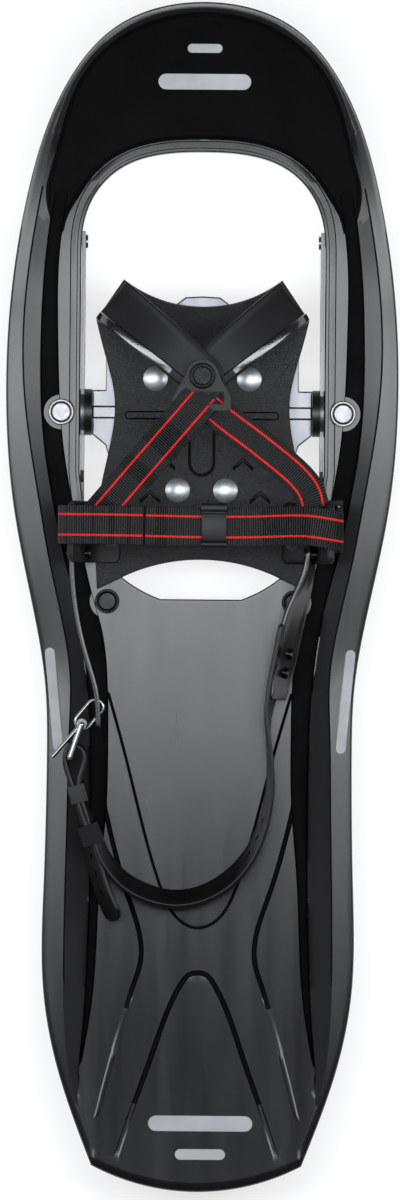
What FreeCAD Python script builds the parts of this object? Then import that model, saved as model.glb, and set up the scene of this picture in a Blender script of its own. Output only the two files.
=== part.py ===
"""Plastic-deck snowshoe with a swinging toe crampon, strap binding and heel strap.

Frame: X to the right, Y to the toe, Z up; the ground is Z = 0 under the middle of the shoe.
Lengths are millimetres. Left is the wearer's left, at negative X.
"""
import FreeCAD, Part
import Sketcher
import math
import os
import re
from FreeCAD import Placement, Rotation, Vector

doc = FreeCAD.newDocument("Snowshoe")

# ---------------------------------------------------------------- driving dimensions
SIZES = [
    ("deck_length", 615.0, "toe tip to tail"),
    ("deck_width", 203.0, "widest place, beside the toe"),
    ("deck_top", 36.0, "level part of the deck above the ground"),
    ("skin", 3.0, "wall of the moulding"),
    ("skirt", 16.0, "depth of the rim and of the lip of the opening"),
    ("toe_rise", 46.0, "lift of the toe tip above the level part"),
    ("toe_start", 150.0, "where the toe begins to rise"),
    ("tail_rise", 1.5, "lift of the tail"),
    ("tail_start", 230.0, "where the tail begins to rise, behind the origin"),
    ("channel_depth", 5.5, "groove between the rim and the panel"),
    ("opening_half", 63.3, "half width of the toe opening"),
    ("rail_thick", 2.0, "steel of the traction rails"),
    ("rail_inner", 61.0, "inner face of a rail from the middle"),
    ("tooth_root", 12.0, "rail edge between teeth above the ground"),
    ("tooth_tip", 6.0, "flat length of a tooth tip"),
    ("axle_place", 96.1, "axle in front of the origin"),
    ("axle_level", 33.9, "axle above the ground"),
    ("axle_diameter", 6.0, "pivot axle"),
    ("running_gap", 0.05, "gap all round a turning pin"),
    ("bush_diameter", 24.0, "spacer disc on the axle"),
    ("bush_width", 4.0, "thickness of the spacer disc"),
    ("plate", 2.5, "steel of the crampon"),
    ("footbed_thick", 4.0, "moulded bed"),
    ("rivet_head", 13.5, "silver deck rivet"),
    ("dome_head", 12.7, "domed bed rivet"),
    ("rivet_shank", 5.8, "shank of the large rivets"),
    ("screw_place", 114.7, "toe screw in front of the origin"),
    ("screw_head", 13.5, "toe screw head"),
    ("arm_thick", 3.0, "toe arms"),
    ("wing_thick", 3.0, "side wings"),
    ("webbing_width", 20.0, "strap webbing"),
    ("webbing_thick", 1.6, "strap webbing"),
    ("band_place", 37.6, "middle of the cross band in front of the origin"),
    ("band_level", 93.0, "middle of the cross band above the ground"),
    ("heel_place", 23.0, "heel rivets in front of the origin"),
    ("heel_level", 58.0, "heel rivets above the ground"),
    ("heel_tilt", 3.6, "fall of the heel harness to the rear, degrees"),
    ("heel_arm_height", 15.0, "heel arms standing on edge"),
    ("heel_strap_height", 18.0, "heel strap standing on edge"),
    ("heel_strap_thick", 2.4, "heel strap"),
    ("hole_pitch", 9.6, "holes of the heel strap"),
]
sheet = doc.addObject("Spreadsheet::Sheet", "Sizes")
for row, (alias, value, note) in enumerate(SIZES, 1):
    sheet.set(f"A{row}", alias)
    sheet.set(f"B{row}", str(value))
    sheet.set(f"C{row}", note)
    sheet.setAlias(f"B{row}", alias)
doc.recompute()


def size(alias):
    """Value of one cell of the sheet."""
    return float(sheet.get(alias))


# ---------------------------------------------------------------- document helpers
AXIS = {
    "X": Rotation(Vector(0, 1, 0), 90),
    "Y": Rotation(Vector(1, 0, 0), -90),
    "Z": Rotation(),
}


def bind(item, **expressions):
    """Bind properties to the sheet; words in the text are aliases, __ in a name is a dot."""
    for name, text in expressions.items():
        text = re.sub(r"[a-z][a-z_]+", r"Sizes.\g<0>", str(text))
        item.setExpression(name.replace("__", "."), text)


def place(item, x, y, z, rotation=Rotation()):
    item.Placement = Placement(Vector(), rotation)
    bind(item, Placement__Base__x=x, Placement__Base__y=y, Placement__Base__z=z)


def rod(name, radius, length, x, y, z, axis="Z"):
    """Cylinder whose size and place are expressions."""
    item = doc.addObject("Part::Cylinder", name)
    place(item, x, y, z, AXIS[axis])
    bind(item, Radius=radius, Height=length)
    return item


def block(name, length, width, height, x, y, z):
    """Box from its lowest corner, in expressions."""
    item = doc.addObject("Part::Box", name)
    place(item, x, y, z)
    bind(item, Length=length, Width=width, Height=height)
    return item


def fuse(name, *items):
    item = doc.addObject("Part::MultiFuse", name)
    item.Shapes = list(items)
    item.Refine = True
    return item


def cut(name, base, *tools):
    item = doc.addObject("Part::Cut", name)
    item.Base = base
    item.Tool = tools[0] if len(tools) == 1 else fuse(name + "_tools", *tools)
    return item


def common(name, first, second):
    item = doc.addObject("Part::MultiCommon", name)
    item.Shapes = [first, second]
    return item


def mirrored(name, source):
    """The same piece on the other side of the middle."""
    item = doc.addObject("Part::Mirroring", name)
    item.Source = source
    item.Normal = Vector(1, 0, 0)
    return item


def group(name, *items):
    item = doc.addObject("Part::Compound", name)
    item.Links = list(items)
    return item


def solid(name, shape, place_at=Placement()):
    """A piece whose shape is made with Part's own functions."""
    item = doc.addObject("Part::Feature", name)
    item.Shape = shape
    item.Placement = place_at
    return item


def carried(name, wire, direction, length, x="0", y="0", z="0"):
    """Closed outline carried straight along one axis."""
    item = doc.addObject("Part::Extrusion", name)
    item.Base = solid(name + "_outline", wire)
    item.DirMode = "Custom"
    item.Dir = Vector(*direction)
    item.Solid = True
    bind(item, LengthFwd=length)
    place(item, x, y, z)
    return item


def prism(name, wire, bottom, height):
    """Closed plan outline carried straight up."""
    return carried(name, wire, (0, 0, 1), height, z=bottom)


def side_plate(name, points, start, thickness):
    """Outline in Y and Z carried along X from the expression start."""
    wire = Part.makePolygon([Vector(0, y, z) for y, z in points + points[:1]])
    return carried(name, wire, (1, 0, 0), thickness, x=start)


def cross_plate(name, points, start, thickness):
    """Outline in X and Z carried along Y from the expression start."""
    wire = Part.makePolygon([Vector(x, 0, z) for x, z in points + points[:1]])
    return carried(name, wire, (0, 1, 0), thickness, y=start)


def body_sketch(body, role, label):
    """Sketch on one of the body's own origin planes."""
    sketch = body.newObject("Sketcher::SketchObject", label)
    plane = [f for f in body.Origin.OriginFeatures if f.Role == role]
    sketch.AttachmentSupport = [(plane[0], "")]
    sketch.MapMode = "FlatFace"
    return sketch


def pad(body, sketch, length, symmetric=False):
    feature = body.newObject("PartDesign::Pad", sketch.Label + "_pad")
    feature.Profile = sketch
    feature.SideType = "Symmetric" if symmetric else "One side"
    bind(feature, Length=length)
    return feature


def pocket(body, sketch, length, symmetric=False, reversed_=False):
    feature = body.newObject("PartDesign::Pocket", sketch.Label + "_pocket")
    feature.Profile = sketch
    feature.SideType = "Symmetric" if symmetric else "One side"
    feature.Reversed = reversed_
    bind(feature, Length=length)
    return feature


def polyline(sketch, points):
    """Closed straight-sided profile."""
    for first, second in zip(points, points[1:] + points[:1]):
        sketch.addGeometry(Part.LineSegment(Vector(*first, 0), Vector(*second, 0)))


def circle(sketch, x, y, diameter):
    """Circle whose diameter is an expression."""
    number = sketch.addGeometry(Part.Circle(Vector(x, y, 0), Vector(0, 0, 1), 1))
    index = sketch.addConstraint(Sketcher.Constraint("Diameter", number, 2.0))
    bind(sketch, **{f"Constraints[{index}]": diameter})


def flat(points):
    return [Vector(x, y, 0) for x, y in points]


def smooth(points):
    """Smooth plan curve through a few points."""
    curve = Part.BSplineCurve()
    curve.interpolate(flat(points))
    return curve


def other_side(points):
    """The points mirrored and in the opposite order."""
    return [(-x, y) for x, y in reversed(points)]


def straight(first, second):
    return Part.makeLine(Vector(*first, 0), Vector(*second, 0))


def ribbon(points, sides, width, thickness):
    """Strap of rectangular section through 3-D points; sides are the directions of its width."""
    sections = []
    count = len(points)
    for index, (point, side) in enumerate(zip(points, sides)):
        along = points[min(index + 1, count - 1)] - points[max(index - 1, 0)]
        across = Vector(side).normalize()
        normal = along.cross(across).normalize()
        half_width = across * (width / 2)
        half_thick = normal * (thickness / 2)
        corners = [
            point + half_width + half_thick,
            point - half_width + half_thick,
            point - half_width - half_thick,
            point + half_width - half_thick,
        ]
        sections.append(Part.makePolygon(corners + corners[:1]))
    return Part.makeLoft(sections, True, True)


def on_edge(points, height, thickness):
    """Strap standing on edge along a plan path, in the plane of the heel harness."""
    path = [Vector(x, y, 0) for x, y in points]
    return ribbon(path, [Vector(0, 0, 1)] * len(path), height, thickness)


# ---------------------------------------------------------------- deck
half_length = size("deck_length") / 2
half_width = size("deck_width") / 2

# right-hand edge, toe to tail, and the curves of the opening
EDGE = [
    (0, half_length), (46.4, 294.5), (72.5, 263.5), (90.7, 211.6), (99.2, 159.8), (half_width, 97.6),
    (97.1, 45.8), (86.8, -6), (80, -47.4), (79, -80), (80.2, -150), (80, -203), (72.3, -244), (54.4, -294),
]
OPENING_FRONT = [
    (size("opening_half"), 180), (62.4, 192), (59.3, 203), (53, 213.5), (42, 223), (24, 229.3), (0, 231),
]
OPENING_REAR = [(size("opening_half"), 65), (60.5, 45), (53.5, 24), (40.8, 10.6), (30, 3.5), (21, -0.5)]
TAIL_CORNER_SHIFT = (0.804, 0.718)
CHANNEL_OUTER = [
    (76.4, 215), (79.4, 197), (83.9, 144.3), (84.2, 128.7), (81.7, 77), (77.4, 51), (70.9, 20), (64, -7),
    (58, -51.5), (57, -71), (56.7, -146), (58.7, -209), (61.5, -244),
]
CHANNEL_INNER = [
    (69.5, 209), (72.8, 192), (74.8, 136.5), (71.4, 77), (67, 51), (60.5, 20), (55.6, 0), (51.5, -14),
    (47.8, -42), (47.2, -73), (47.6, -104), (50.9, -146), (54.5, -209), (59.5, -240),
]


def moved_aside(points, distance):
    """The points of a path moved to the right of its direction."""
    found = []
    last = len(points) - 1
    for index, (x, y) in enumerate(points):
        before = points[max(index - 1, 0)]
        after = points[min(index + 1, last)]
        run_x, run_y = after[0] - before[0], after[1] - before[1]
        share = distance / math.hypot(run_x, run_y)
        found.append((x + run_y * share, y - run_x * share))
    return found


def deck_outline(inset=0.0):
    """Rim and tail arc, or the same outline moved inwards."""
    x, y = EDGE[-1]
    x, y = x - TAIL_CORNER_SHIFT[0] * inset, y + TAIL_CORNER_SHIFT[1] * inset
    path = moved_aside(other_side(EDGE)[:-1] + EDGE, inset)
    rim = smooth([(-x, y)] + path[1:-1] + [(x, y)]).toShape()
    tail = Part.Arc(Vector(x, y, 0), Vector(0, inset - half_length, 0), Vector(-x, y, 0)).toShape()
    return Part.Wire([rim, tail])


def opening_outline(outset=0.0):
    """Edge of the toe opening, or the same outline moved outwards."""
    half, front_end = OPENING_FRONT[0]
    rear_start = OPENING_REAR[0][1]
    x, y = OPENING_REAR[-1]
    half, y = half + outset, y - outset
    path = [(-side, along) for side, along in OPENING_FRONT[:-1]] + list(reversed(OPENING_FRONT))
    front = smooth([(-half, front_end)] + moved_aside(path, -outset)[1:-1] + [(half, front_end)])
    rear_path = [(half, rear_start)] + moved_aside(OPENING_REAR, -outset)[1:-1] + [(x, y)]
    return Part.Wire([
        front.toShape(),
        straight((half, front_end), (half, rear_start)),
        smooth(rear_path).toShape(),
        straight((x, y), (-x, y)),
        smooth(other_side(rear_path)).toShape(),
        straight((-half, rear_start), (-half, front_end)),
    ])


def channel_outline(outset=0.0):
    """Right-hand groove between rim and panel, or the same outline moved outwards."""
    outer = moved_aside(CHANNEL_OUTER, -outset)
    inner = moved_aside(CHANNEL_INNER, outset)
    for path in (outer, inner):
        path[0] = (path[0][0], path[0][1] + outset)
        path[-1] = (path[-1][0], path[-1][1] - outset)
    return Part.Wire([
        smooth(outer).toShape(),
        straight(outer[-1], inner[-1]),
        smooth(list(reversed(inner))).toShape(),
        straight(inner[0], outer[0]),
    ])


def arc_rise(run, rise):
    """Radius of the arc that leaves the level tangentially and lifts by rise over run."""
    return (run * run + rise * rise) / (2 * rise)


def deck_band(name, top, bottom):
    """Everything between the deck's top surface moved up by top and by bottom, as a solid along X."""
    start = size("toe_start")
    run = half_length + 10 - start
    radius = arc_rise(half_length - start, size("toe_rise"))
    tail = -size("tail_start")
    tail_run = half_length + 10 + tail
    tail_radius = arc_rise(half_length + tail, size("tail_rise"))
    level = size("deck_top")

    def top_edges(shift):
        def at(y, z):
            return Vector(0, y, level + shift + z)

        def arc(y, direction, length, big):
            middle = length / 2
            rise_middle = big - math.sqrt(big * big - middle * middle)
            rise_end = big - math.sqrt(big * big - length * length)
            return at(y, 0), at(y + direction * middle, rise_middle), at(y + direction * length, rise_end)

        toe = arc(start, 1, run, radius)
        back = arc(tail, -1, tail_run, tail_radius)
        edges = [
            Part.Arc(back[2], back[1], back[0]).toShape(),
            Part.makeLine(back[0], toe[0]),
            Part.Arc(*toe).toShape(),
        ]
        return edges, back[2], toe[2]

    upper, upper_tail, upper_toe = top_edges(top)
    lower, lower_tail, lower_toe = top_edges(bottom)
    sides = [Part.makeLine(upper_toe, lower_toe), Part.makeLine(lower_tail, upper_tail)]
    wire = Part.Wire(Part.__sortEdges__(upper + lower + sides))
    return carried(name, wire, (1, 0, 0), "deck_width + 20", x="-deck_width / 2 - 10")


def saw_teeth(start, end, count, root, tip):
    """Bottom edge in Y and Z from start to end, with flat-tipped teeth that reach the ground."""
    pitch = (end - start) / count
    points = []
    for number in range(count):
        first = start + number * pitch
        middle = first + pitch / 2
        points += [(first, root), (middle - tip / 2, 0), (middle + tip / 2, 0)]
    return points + [(end, root)]


def make_deck():
    skin = size("skin")
    tall = "toe_rise + deck_top + 60"
    outer = prism("deck_outer", deck_outline(), "-20", tall)
    inner = prism("deck_inner", deck_outline(skin), "-20", tall)
    opening = prism("deck_opening", opening_outline(), "-20", tall)
    lip = prism("deck_lip", opening_outline(skin), "-20", tall)
    channel_cut = prism("channel_cut", channel_outline(), "-20", tall)
    channel_wall = prism("channel_wall", channel_outline(skin), "-20", tall)

    shell = common("deck_block", outer, deck_band("skirt_band", 0, -size("skirt")))
    hollow = common("deck_hollow", inner, deck_band("hollow_band", -skin, -60))
    lip_wall = common("lip_wall", lip, deck_band("lip_band", 0, -size("skirt")))
    depth = size("channel_depth")
    floor = common("channel_floor", channel_wall, deck_band("floor_band", 0, -depth - skin))
    groove = common("channel_groove", channel_cut, deck_band("groove_band", 12, -depth))

    fins = []
    teeth = saw_teeth(-262, -52, 7, size("tooth_root"), size("tooth_tip"))
    for side in (-1, 1):
        points = teeth + [(-40, 34.5), (-262, 34.5)]
        fins.append(side_plate(f"fin_{side + 1}", points, f"{side * 44.5} - skin / 2", "skin"))
    bars = [
        block(f"brake_bar_{number}", "88", "skin", "14.5", "-44", str(y), "20")
        for number, y in enumerate((-215, -150, -85))
    ]
    bosses = []
    holes = []
    for name, x, y in (("pivot", 73, "axle_place"), ("rear", 48.4, "-1.8")):
        for side in (-1, 1):
            bosses.append(rod(f"{name}_boss_{side + 1}", "9", "deck_top - 19", str(side * x), y, "19"))
            holes.append(rod(f"{name}_hole_{side + 1}", "rivet_shank / 2", "40", str(side * x), y, "5"))
    for side in (-1, 1):
        start = "opening_half - 2" if side > 0 else "-opening_half - 8"
        holes.append(rod(f"nose_hole_{side + 1}", "2", "10", start, "184.7", "25", "X"))

    solids = fuse("deck_solids", cut("deck_shell", shell, hollow), lip_wall, floor,
                  mirrored("channel_floor_left", floor), *fins, *bars)
    grooved = cut("deck_grooved", solids, groove, mirrored("groove_left", groove))
    bossed = fuse("deck_bossed", grooved, *bosses)
    return cut("deck", bossed, opening, *holes)


# ---------------------------------------------------------------- rails, rivets and axle
def make_rail():
    """Right-hand rail: toothed web, ear that carries the axle, and two tabs under the deck."""
    axle = size("axle_place")
    teeth = saw_teeth(-12, 190, 8, size("tooth_root"), size("tooth_tip"))
    upper_edge = [(190, 30), (66, 30), (60, 19), (-12, 19)]
    web = side_plate("rail_web", teeth + upper_edge, "rail_inner", "rail_thick")
    ear = block("rail_ear", "rail_thick", "18", "6", "rail_inner", "axle_place - 9", "28.5")
    eye = rod("rail_eye", "9", "rail_thick", "rail_inner", "axle_place", "axle_level", "X")
    tab = block("rail_tab", "21", "24", "2", "rail_inner", "axle_place - 12", "17")
    rear_tab = block("rail_rear_tab", "22", "18", "2", "rail_inner - 20.5", "-12", "17")
    axle_hole = rod(
        "rail_axle_hole", "axle_diameter / 2", "10", "rail_inner - 4", "axle_place", "axle_level", "X")
    pin_hole = rod("rail_pin_hole", "2", "10", "rail_inner - 4", "184.7", "25", "X")
    tab_hole = rod("rail_tab_hole", "rivet_shank / 2", "10", "73", "axle_place", "12")
    rear_hole = rod("rail_rear_hole", "rivet_shank / 2", "10", "48.4", "-1.8", "12")
    steel = fuse("rail_steel", web, ear, eye, tab, rear_tab)
    return cut("traction_rail_right", steel, axle_hole, pin_hole, tab_hole, rear_hole)


def deck_rivet(name, x, y, head, disc):
    """Large-head rivet through deck and rail tab: flat head with a raised disc, shank and tail."""
    parts = [
        rod(name + "_head", f"{head} / 2", "1.4", x, y, "deck_top"),
        rod(name + "_disc", f"{disc} / 2", "2.2", x, y, "deck_top"),
        rod(name + "_shank", "rivet_shank / 2", "deck_top - 16", x, y, "16"),
        rod(name + "_tail", "4.8", "2", x, y, "15"),
    ]
    return fuse(name, *parts)


def nose_pin():
    """Cross pin that holds the front of the rail to the lip of the opening."""
    head = rod("nose_pin_head", "3.5", "1.2", "rail_inner - 1.2", "184.7", "25", "X")
    shank = rod("nose_pin_shank", "2", "7.5", "rail_inner - 0.6", "184.7", "25", "X")
    tail = rod("nose_pin_tail", "3", "1.2", "opening_half + skin", "184.7", "25", "X")
    return fuse("nose_pin_right", head, shank, tail)


def make_deck_fittings():
    rail = make_rail()
    mirrored("traction_rail_left", rail)
    for name, x, y, head, disc, node in (
        ("pivot_rivet", "73", "axle_place", "rivet_head", "9.5", "pivot_rivets"),
        ("rear_rivet", "48.4", "-1.8", "12.7", "9", "deck_rear_rivets"),
    ):
        rivet = deck_rivet(name, x, y, head, disc)
        group(node, rivet, mirrored(name + "_left", rivet))
    pin = nose_pin()
    group("rail_nose_pins", pin, mirrored("nose_pin_left", pin))
    rod("pivot_axle", "axle_diameter / 2", "2 * (rail_inner + rail_thick)", "-rail_inner - rail_thick",
        "axle_place", "axle_level", "X")
    bush = cut(
        "pivot_bush_right",
        rod("bush_disc", "bush_diameter / 2", "bush_width", "rail_inner - bush_width",
            "axle_place", "axle_level", "X"),
        rod("bush_bore", "axle_diameter / 2 + running_gap", "20", "rail_inner - 12",
            "axle_place", "axle_level", "X"),
    )
    mirrored("pivot_bush_left", bush)


# ---------------------------------------------------------------- crampon and foot bed
PLATE_HALF = [
    (0, 156.5), (9, 156), (17, 149.9), (44, 149.9), (44, 130), (50, 130), (50, 107.6), (56.9, 107.6),
    (56.9, 84.6), (50, 79), (46, 66), (47, 58), (52.5, 57), (52.5, 48), (44, 46), (0, 46),
]


def make_crampon():
    plate_points = PLATE_HALF + other_side(PLATE_HALF)[1:-1]
    wire = Part.makePolygon(flat(plate_points + plate_points[:1]))
    plate = prism("crampon_plate", wire, "axle_level", "plate")
    bead = rod("crampon_bead", "axle_diameter / 2 + running_gap + plate", "113.8", "-56.9", "axle_place",
               "axle_level", "X")
    below = block("bead_below", "120", "20", "10", "-60", "axle_place - 10", "axle_level - 10")
    half_bead = cut("crampon_half_bead", bead, below)

    top = size("axle_level") + 1.5
    front_teeth = [(15, top), (44, top), (42, 18), (37, 3), (32, 17), (26, 17), (21, 3), (17, 18)]
    front = cross_plate("front_claw", front_teeth, "147.4", "plate")
    rear_teeth = [(14, top), (43, top), (40, 20), (35, 8), (29, 21), (22, 8), (17, 20)]
    rear = cross_plate("rear_claw", rear_teeth, "46", "plate")
    side = side_plate("side_claw", [(106, top), (130, top), (127, 19), (120, 5), (112, 19)], "47.5", "plate")
    claws = [front, rear, side] + [mirrored(item.Name + "_left", item) for item in (front, rear, side)]
    solids = fuse("crampon_steel", plate, half_bead, *claws)
    bore = rod(
        "crampon_bore", "axle_diameter / 2 + running_gap", "140", "-70", "axle_place", "axle_level", "X")
    holes = [bore]
    for number, (x, y) in enumerate(BED_RIVETS):
        holes.append(rod(f"crampon_hole_{number}", "2.5", "20", str(x), str(y), "28"))
    for side_sign in (-1, 1):
        holes.append(rod(f"tab_hole_{side_sign + 1}", "1.7", "20", str(side_sign * 49.8), "52.5", "28"))
        for y in WING_RIVETS:
            holes.append(rod(f"wing_hole_{side_sign + 1}_{y}", "1.8", "20", str(side_sign * WING_RIVET_X),
                             str(y), "28"))
    return cut("crampon", solids, *holes)


BED_RIVETS = [(-24.3, 113.7), (24.3, 113.7), (-12.4, 56.0), (12.4, 56.0)]
WING_RIVET_X = 47.0
WING_RIVETS = (29, 39)
BED_SIDE = [(55.2, 144), (51.3, 128.7), (45.3, 103), (48, 77), (52, 58), (54.6, 30), (53.7, 4.4)]


def make_footbed():
    body = doc.addObject("PartDesign::Body", "footbed")
    outline = body_sketch(body, "XY_Plane", "bed_outline")
    front_corner = (41, 165)
    rear_corner = (40.8, 10.6)

    def line(first, second):
        outline.addGeometry(Part.LineSegment(Vector(*first, 0), Vector(*second, 0)))

    outline.addGeometry(Part.Arc(Vector(-41, 165, 0), Vector(0, 151, 0), Vector(41, 165, 0)))
    line(front_corner, BED_SIDE[0])
    right = Part.BSplineCurve()
    right.interpolate(flat(BED_SIDE))
    outline.addGeometry(right)
    line(BED_SIDE[-1], rear_corner)
    outline.addGeometry(Part.Arc(Vector(40.8, 10.6, 0), Vector(0, 20, 0), Vector(-40.8, 10.6, 0)))
    line((-40.8, 10.6), (-BED_SIDE[-1][0], BED_SIDE[-1][1]))
    left = Part.BSplineCurve()
    left.interpolate(flat(other_side(BED_SIDE)))
    outline.addGeometry(left)
    line((-BED_SIDE[0][0], BED_SIDE[0][1]), (-41, 165))
    pad(body, outline, "footbed_thick")

    bar = body_sketch(body, "XY_Plane", "bead_cover")
    y = size("axle_place")
    polyline(bar, [(-38, y - 7.5), (38, y - 7.5), (38, y + 7.5), (-38, y + 7.5)])
    pad(body, bar, "footbed_thick + 1.6")

    groove = body_sketch(body, "YZ_Plane", "bead_groove")
    level = size("plate")
    number = groove.addGeometry(Part.Circle(Vector(y, -level, 0), Vector(0, 0, 1), 5.6))
    index = groove.addConstraint(Sketcher.Constraint("Radius", number, 5.6))
    bind(groove, **{f"Constraints[{index}]": "axle_diameter / 2 + running_gap + plate + 0.05"})
    pocket(body, groove, "140", symmetric=True)

    holes = body_sketch(body, "XY_Plane", "bed_holes")
    for x, place_y in BED_RIVETS:
        circle(holes, x, place_y, "5")
    for side in (-1, 1):
        for place_y in WING_RIVETS:
            circle(holes, side * WING_RIVET_X, place_y, "3.6")
    pocket(body, holes, "40", symmetric=True)
    place(body, "0", "0", "axle_level + plate")
    return body


def make_bed_fittings():
    """Domed rivets through bed and crampon, and the small rivets of the wings."""
    rivets = []
    for number, (x, y) in enumerate(BED_RIVETS):
        x, y = str(x), str(y)
        name = f"bed_rivet_{number}"
        dome = doc.addObject("Part::Sphere", name + "_dome")
        bind(dome, Radius="dome_head * 0.75")
        place(dome, x, y, "axle_level + plate + footbed_thick + 3 - dome_head * 0.75")
        keep = rod(name + "_keep", "dome_head / 2", "6", x, y, "axle_level + plate + footbed_thick")
        head = common(name + "_head", dome, keep)
        shank = rod(name + "_shank", "2.5", "plate + footbed_thick + 1.5", x, y, "axle_level - 1")
        tail = rod(name + "_tail", "4.2", "1.8", x, y, "axle_level - 1.8")
        rivets.append(fuse(name, head, shank, tail))
    group("footbed_rivets", *rivets)
    small = []
    for side in (-1, 1):
        for y in WING_RIVETS:
            name = f"wing_rivet_{side + 1}_{y}"
            x = str(side * WING_RIVET_X)
            top = "axle_level + plate + footbed_thick + wing_thick + 0.1"
            head = rod(name + "_head", "3.6", "1.6", x, str(y), top)
            length = "footbed_thick + wing_thick + 1"
            shank = rod(name + "_shank", "1.8", length, x, str(y), "axle_level + plate")
            tail = rod(name + "_tail", "3.2", "1.4", x, str(y), "axle_level + plate - 1.4")
            small.append(fuse(name, head, shank, tail))
    group("wing_rivets", *small)


# ---------------------------------------------------------------- toe harness
def arch_strip(body, label, points, thickness, width):
    """Bent strip: a centre line in the body's X and Z, given its thickness, carried across Y."""
    sketch = body_sketch(body, "XZ_Plane", label)
    curve = smooth(points)
    upper = []
    lower = []
    steps = 12
    for step in range(steps + 1):
        where = curve.FirstParameter + (curve.LastParameter - curve.FirstParameter) * step / steps
        point = curve.value(where)
        along = Vector(*curve.tangent(where)[0])
        normal = Vector(-along.y, along.x, 0) * (thickness / 2)
        upper.append(point + normal)
        lower.append(point - normal)
    for side in (upper, lower):
        edge = Part.BSplineCurve()
        edge.interpolate(side)
        sketch.addGeometry(edge)
    sketch.addGeometry(Part.LineSegment(upper[0], lower[0]))
    sketch.addGeometry(Part.LineSegment(upper[-1], lower[-1]))
    return pad(body, sketch, width, symmetric=True)


def bed_top():
    return size("axle_level") + size("plate") + size("footbed_thick")


def make_toe_arm(label, angle, crown):
    """Arm from the screw out to the front corner of the bed, where it folds back under itself."""
    tab = bed_top() + size("arm_thick") / 2 + 0.5
    body = doc.addObject("PartDesign::Body", label)
    profile = [(-11, crown), (0, crown), (9, crown), (17, crown - 0.5), (32, crown - 4.5), (48, crown - 13),
               (58, crown - 22), (60, tab + 7), (55, tab + 1.2), (50, tab), (44, tab)]
    arch_strip(body, label + "_arch", profile, size("arm_thick"), "26")
    trim = body_sketch(body, "XY_Plane", label + "_trim")
    near = 10.9
    far = 13.0
    reach = 66
    clear = 20
    corners = [(0, near), (reach, far), (reach, clear), (-clear, clear), (-clear, -clear), (reach, -clear),
               (reach, -far), (0, -near)]
    for first, second in zip(corners, corners[1:]):
        trim.addGeometry(Part.LineSegment(Vector(*first, 0), Vector(*second, 0)))
    trim.addGeometry(Part.Arc(Vector(0, -near, 0), Vector(-near, 0, 0), Vector(0, near, 0)))
    pocket(body, trim, "200", symmetric=True)
    hole = body_sketch(body, "XY_Plane", label + "_hole")
    circle(hole, 0, 0, "5")
    pocket(body, hole, "200", symmetric=True)
    place(body, "0", "screw_place", "0", Rotation(Vector(0, 0, 1), angle))


ARM_CROWN = 80.0


def make_toe_harness():
    """Two arms, the left one on top, with the screw, its nut and the loop that swivels on it."""
    make_toe_arm("toe_arm_left", 140.5, ARM_CROWN)
    make_toe_arm("toe_arm_right", 39.5, ARM_CROWN - size("arm_thick") - 0.5)
    top = ARM_CROWN + size("arm_thick") / 2 + 0.15
    under = ARM_CROWN - size("arm_thick") * 3 / 2 - 0.65
    head = rod("screw_dome", "screw_head / 2", "3.2", "0", "screw_place", str(top + 3.6))
    collar = rod("screw_collar", "4.5", "3.6", "0", "screw_place", str(top))
    shank = rod("screw_shank", "2.5", "14", "0", "screw_place", str(top - 10))
    fuse("toe_screw", head, collar, shank)
    nut = doc.addObject("Part::Prism", "nut_hexagon")
    nut.Polygon = 6
    bind(nut, Circumradius="4.6", Height="3")
    place(nut, "0", "screw_place", str(under - 3))
    cut("toe_nut", nut, rod("nut_bore", "2.5", "20", "0", "screw_place", str(top - 20)))

    y = size("screw_place")
    outline = [(-8.4, y + 1), (-15, y - 11), (-15, y - 16.5), (-12.5, y - 18), (12.5, y - 18), (15, y - 16.5),
               (15, y - 11), (8.4, y + 1)]
    eye = rod("loop_eye", "8.5", "3", "0", "screw_place", str(top + 0.3))
    frame = prism("loop_frame", Part.makePolygon(flat(outline + outline[:1])), str(top + 0.3), "3")
    window = block("loop_window", "22", "6.2", "20", "-11", "screw_place - 14.5", str(top - 8))
    bore = rod("loop_bore", "4.5 + running_gap", "20", "0", "screw_place", str(top - 8))
    cut("strap_loop", fuse("loop_solids", eye, frame), window, bore)


# ---------------------------------------------------------------- wings, webbing and buckle
WING_MIDDLE = 34.0


def make_wing(label, angle):
    """Side plate: foot on the bed, upright part that carries the heel rivet, flared top with a slot."""
    tab = bed_top() + size("wing_thick") / 2 + 0.02
    way = 1 if angle == 0 else -1
    body = doc.addObject("PartDesign::Body", label)
    profile = [(42, tab), (48, tab), (52.5, tab + 0.6), (57.2, tab + 4), (60, tab + 10), (61.3, tab + 17),
               (62.2, tab + 25), (64.2, tab + 35), (67.5, tab + 44)]
    arch_strip(body, label + "_arch", profile, size("wing_thick"), "32")
    bead = body_sketch(body, "XZ_Plane", label + "_bead")
    circle(bead, 67.5, tab + 44, "wing_thick + 1")
    pad(body, bead, "32", symmetric=True)
    slot = body_sketch(body, "YZ_Plane", label + "_slot")
    polyline(slot, [(-10.8, 76), (10.8, 76), (10.8, 80), (-10.8, 80)])
    pocket(body, slot, "200", symmetric=True)
    holes = body_sketch(body, "XY_Plane", label + "_feet")
    for y in WING_RIVETS:
        circle(holes, WING_RIVET_X, (y - WING_MIDDLE) * way, "3.6")
    pocket(body, holes, "200", symmetric=True)
    pivot = body_sketch(body, "YZ_Plane", label + "_pivot")
    circle(pivot, (size("heel_place") - WING_MIDDLE) * way, size("heel_level"), "4")
    pocket(body, pivot, "200", symmetric=True)
    place(body, "0", str(WING_MIDDLE), "0", Rotation(Vector(0, 0, 1), angle))


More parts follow.
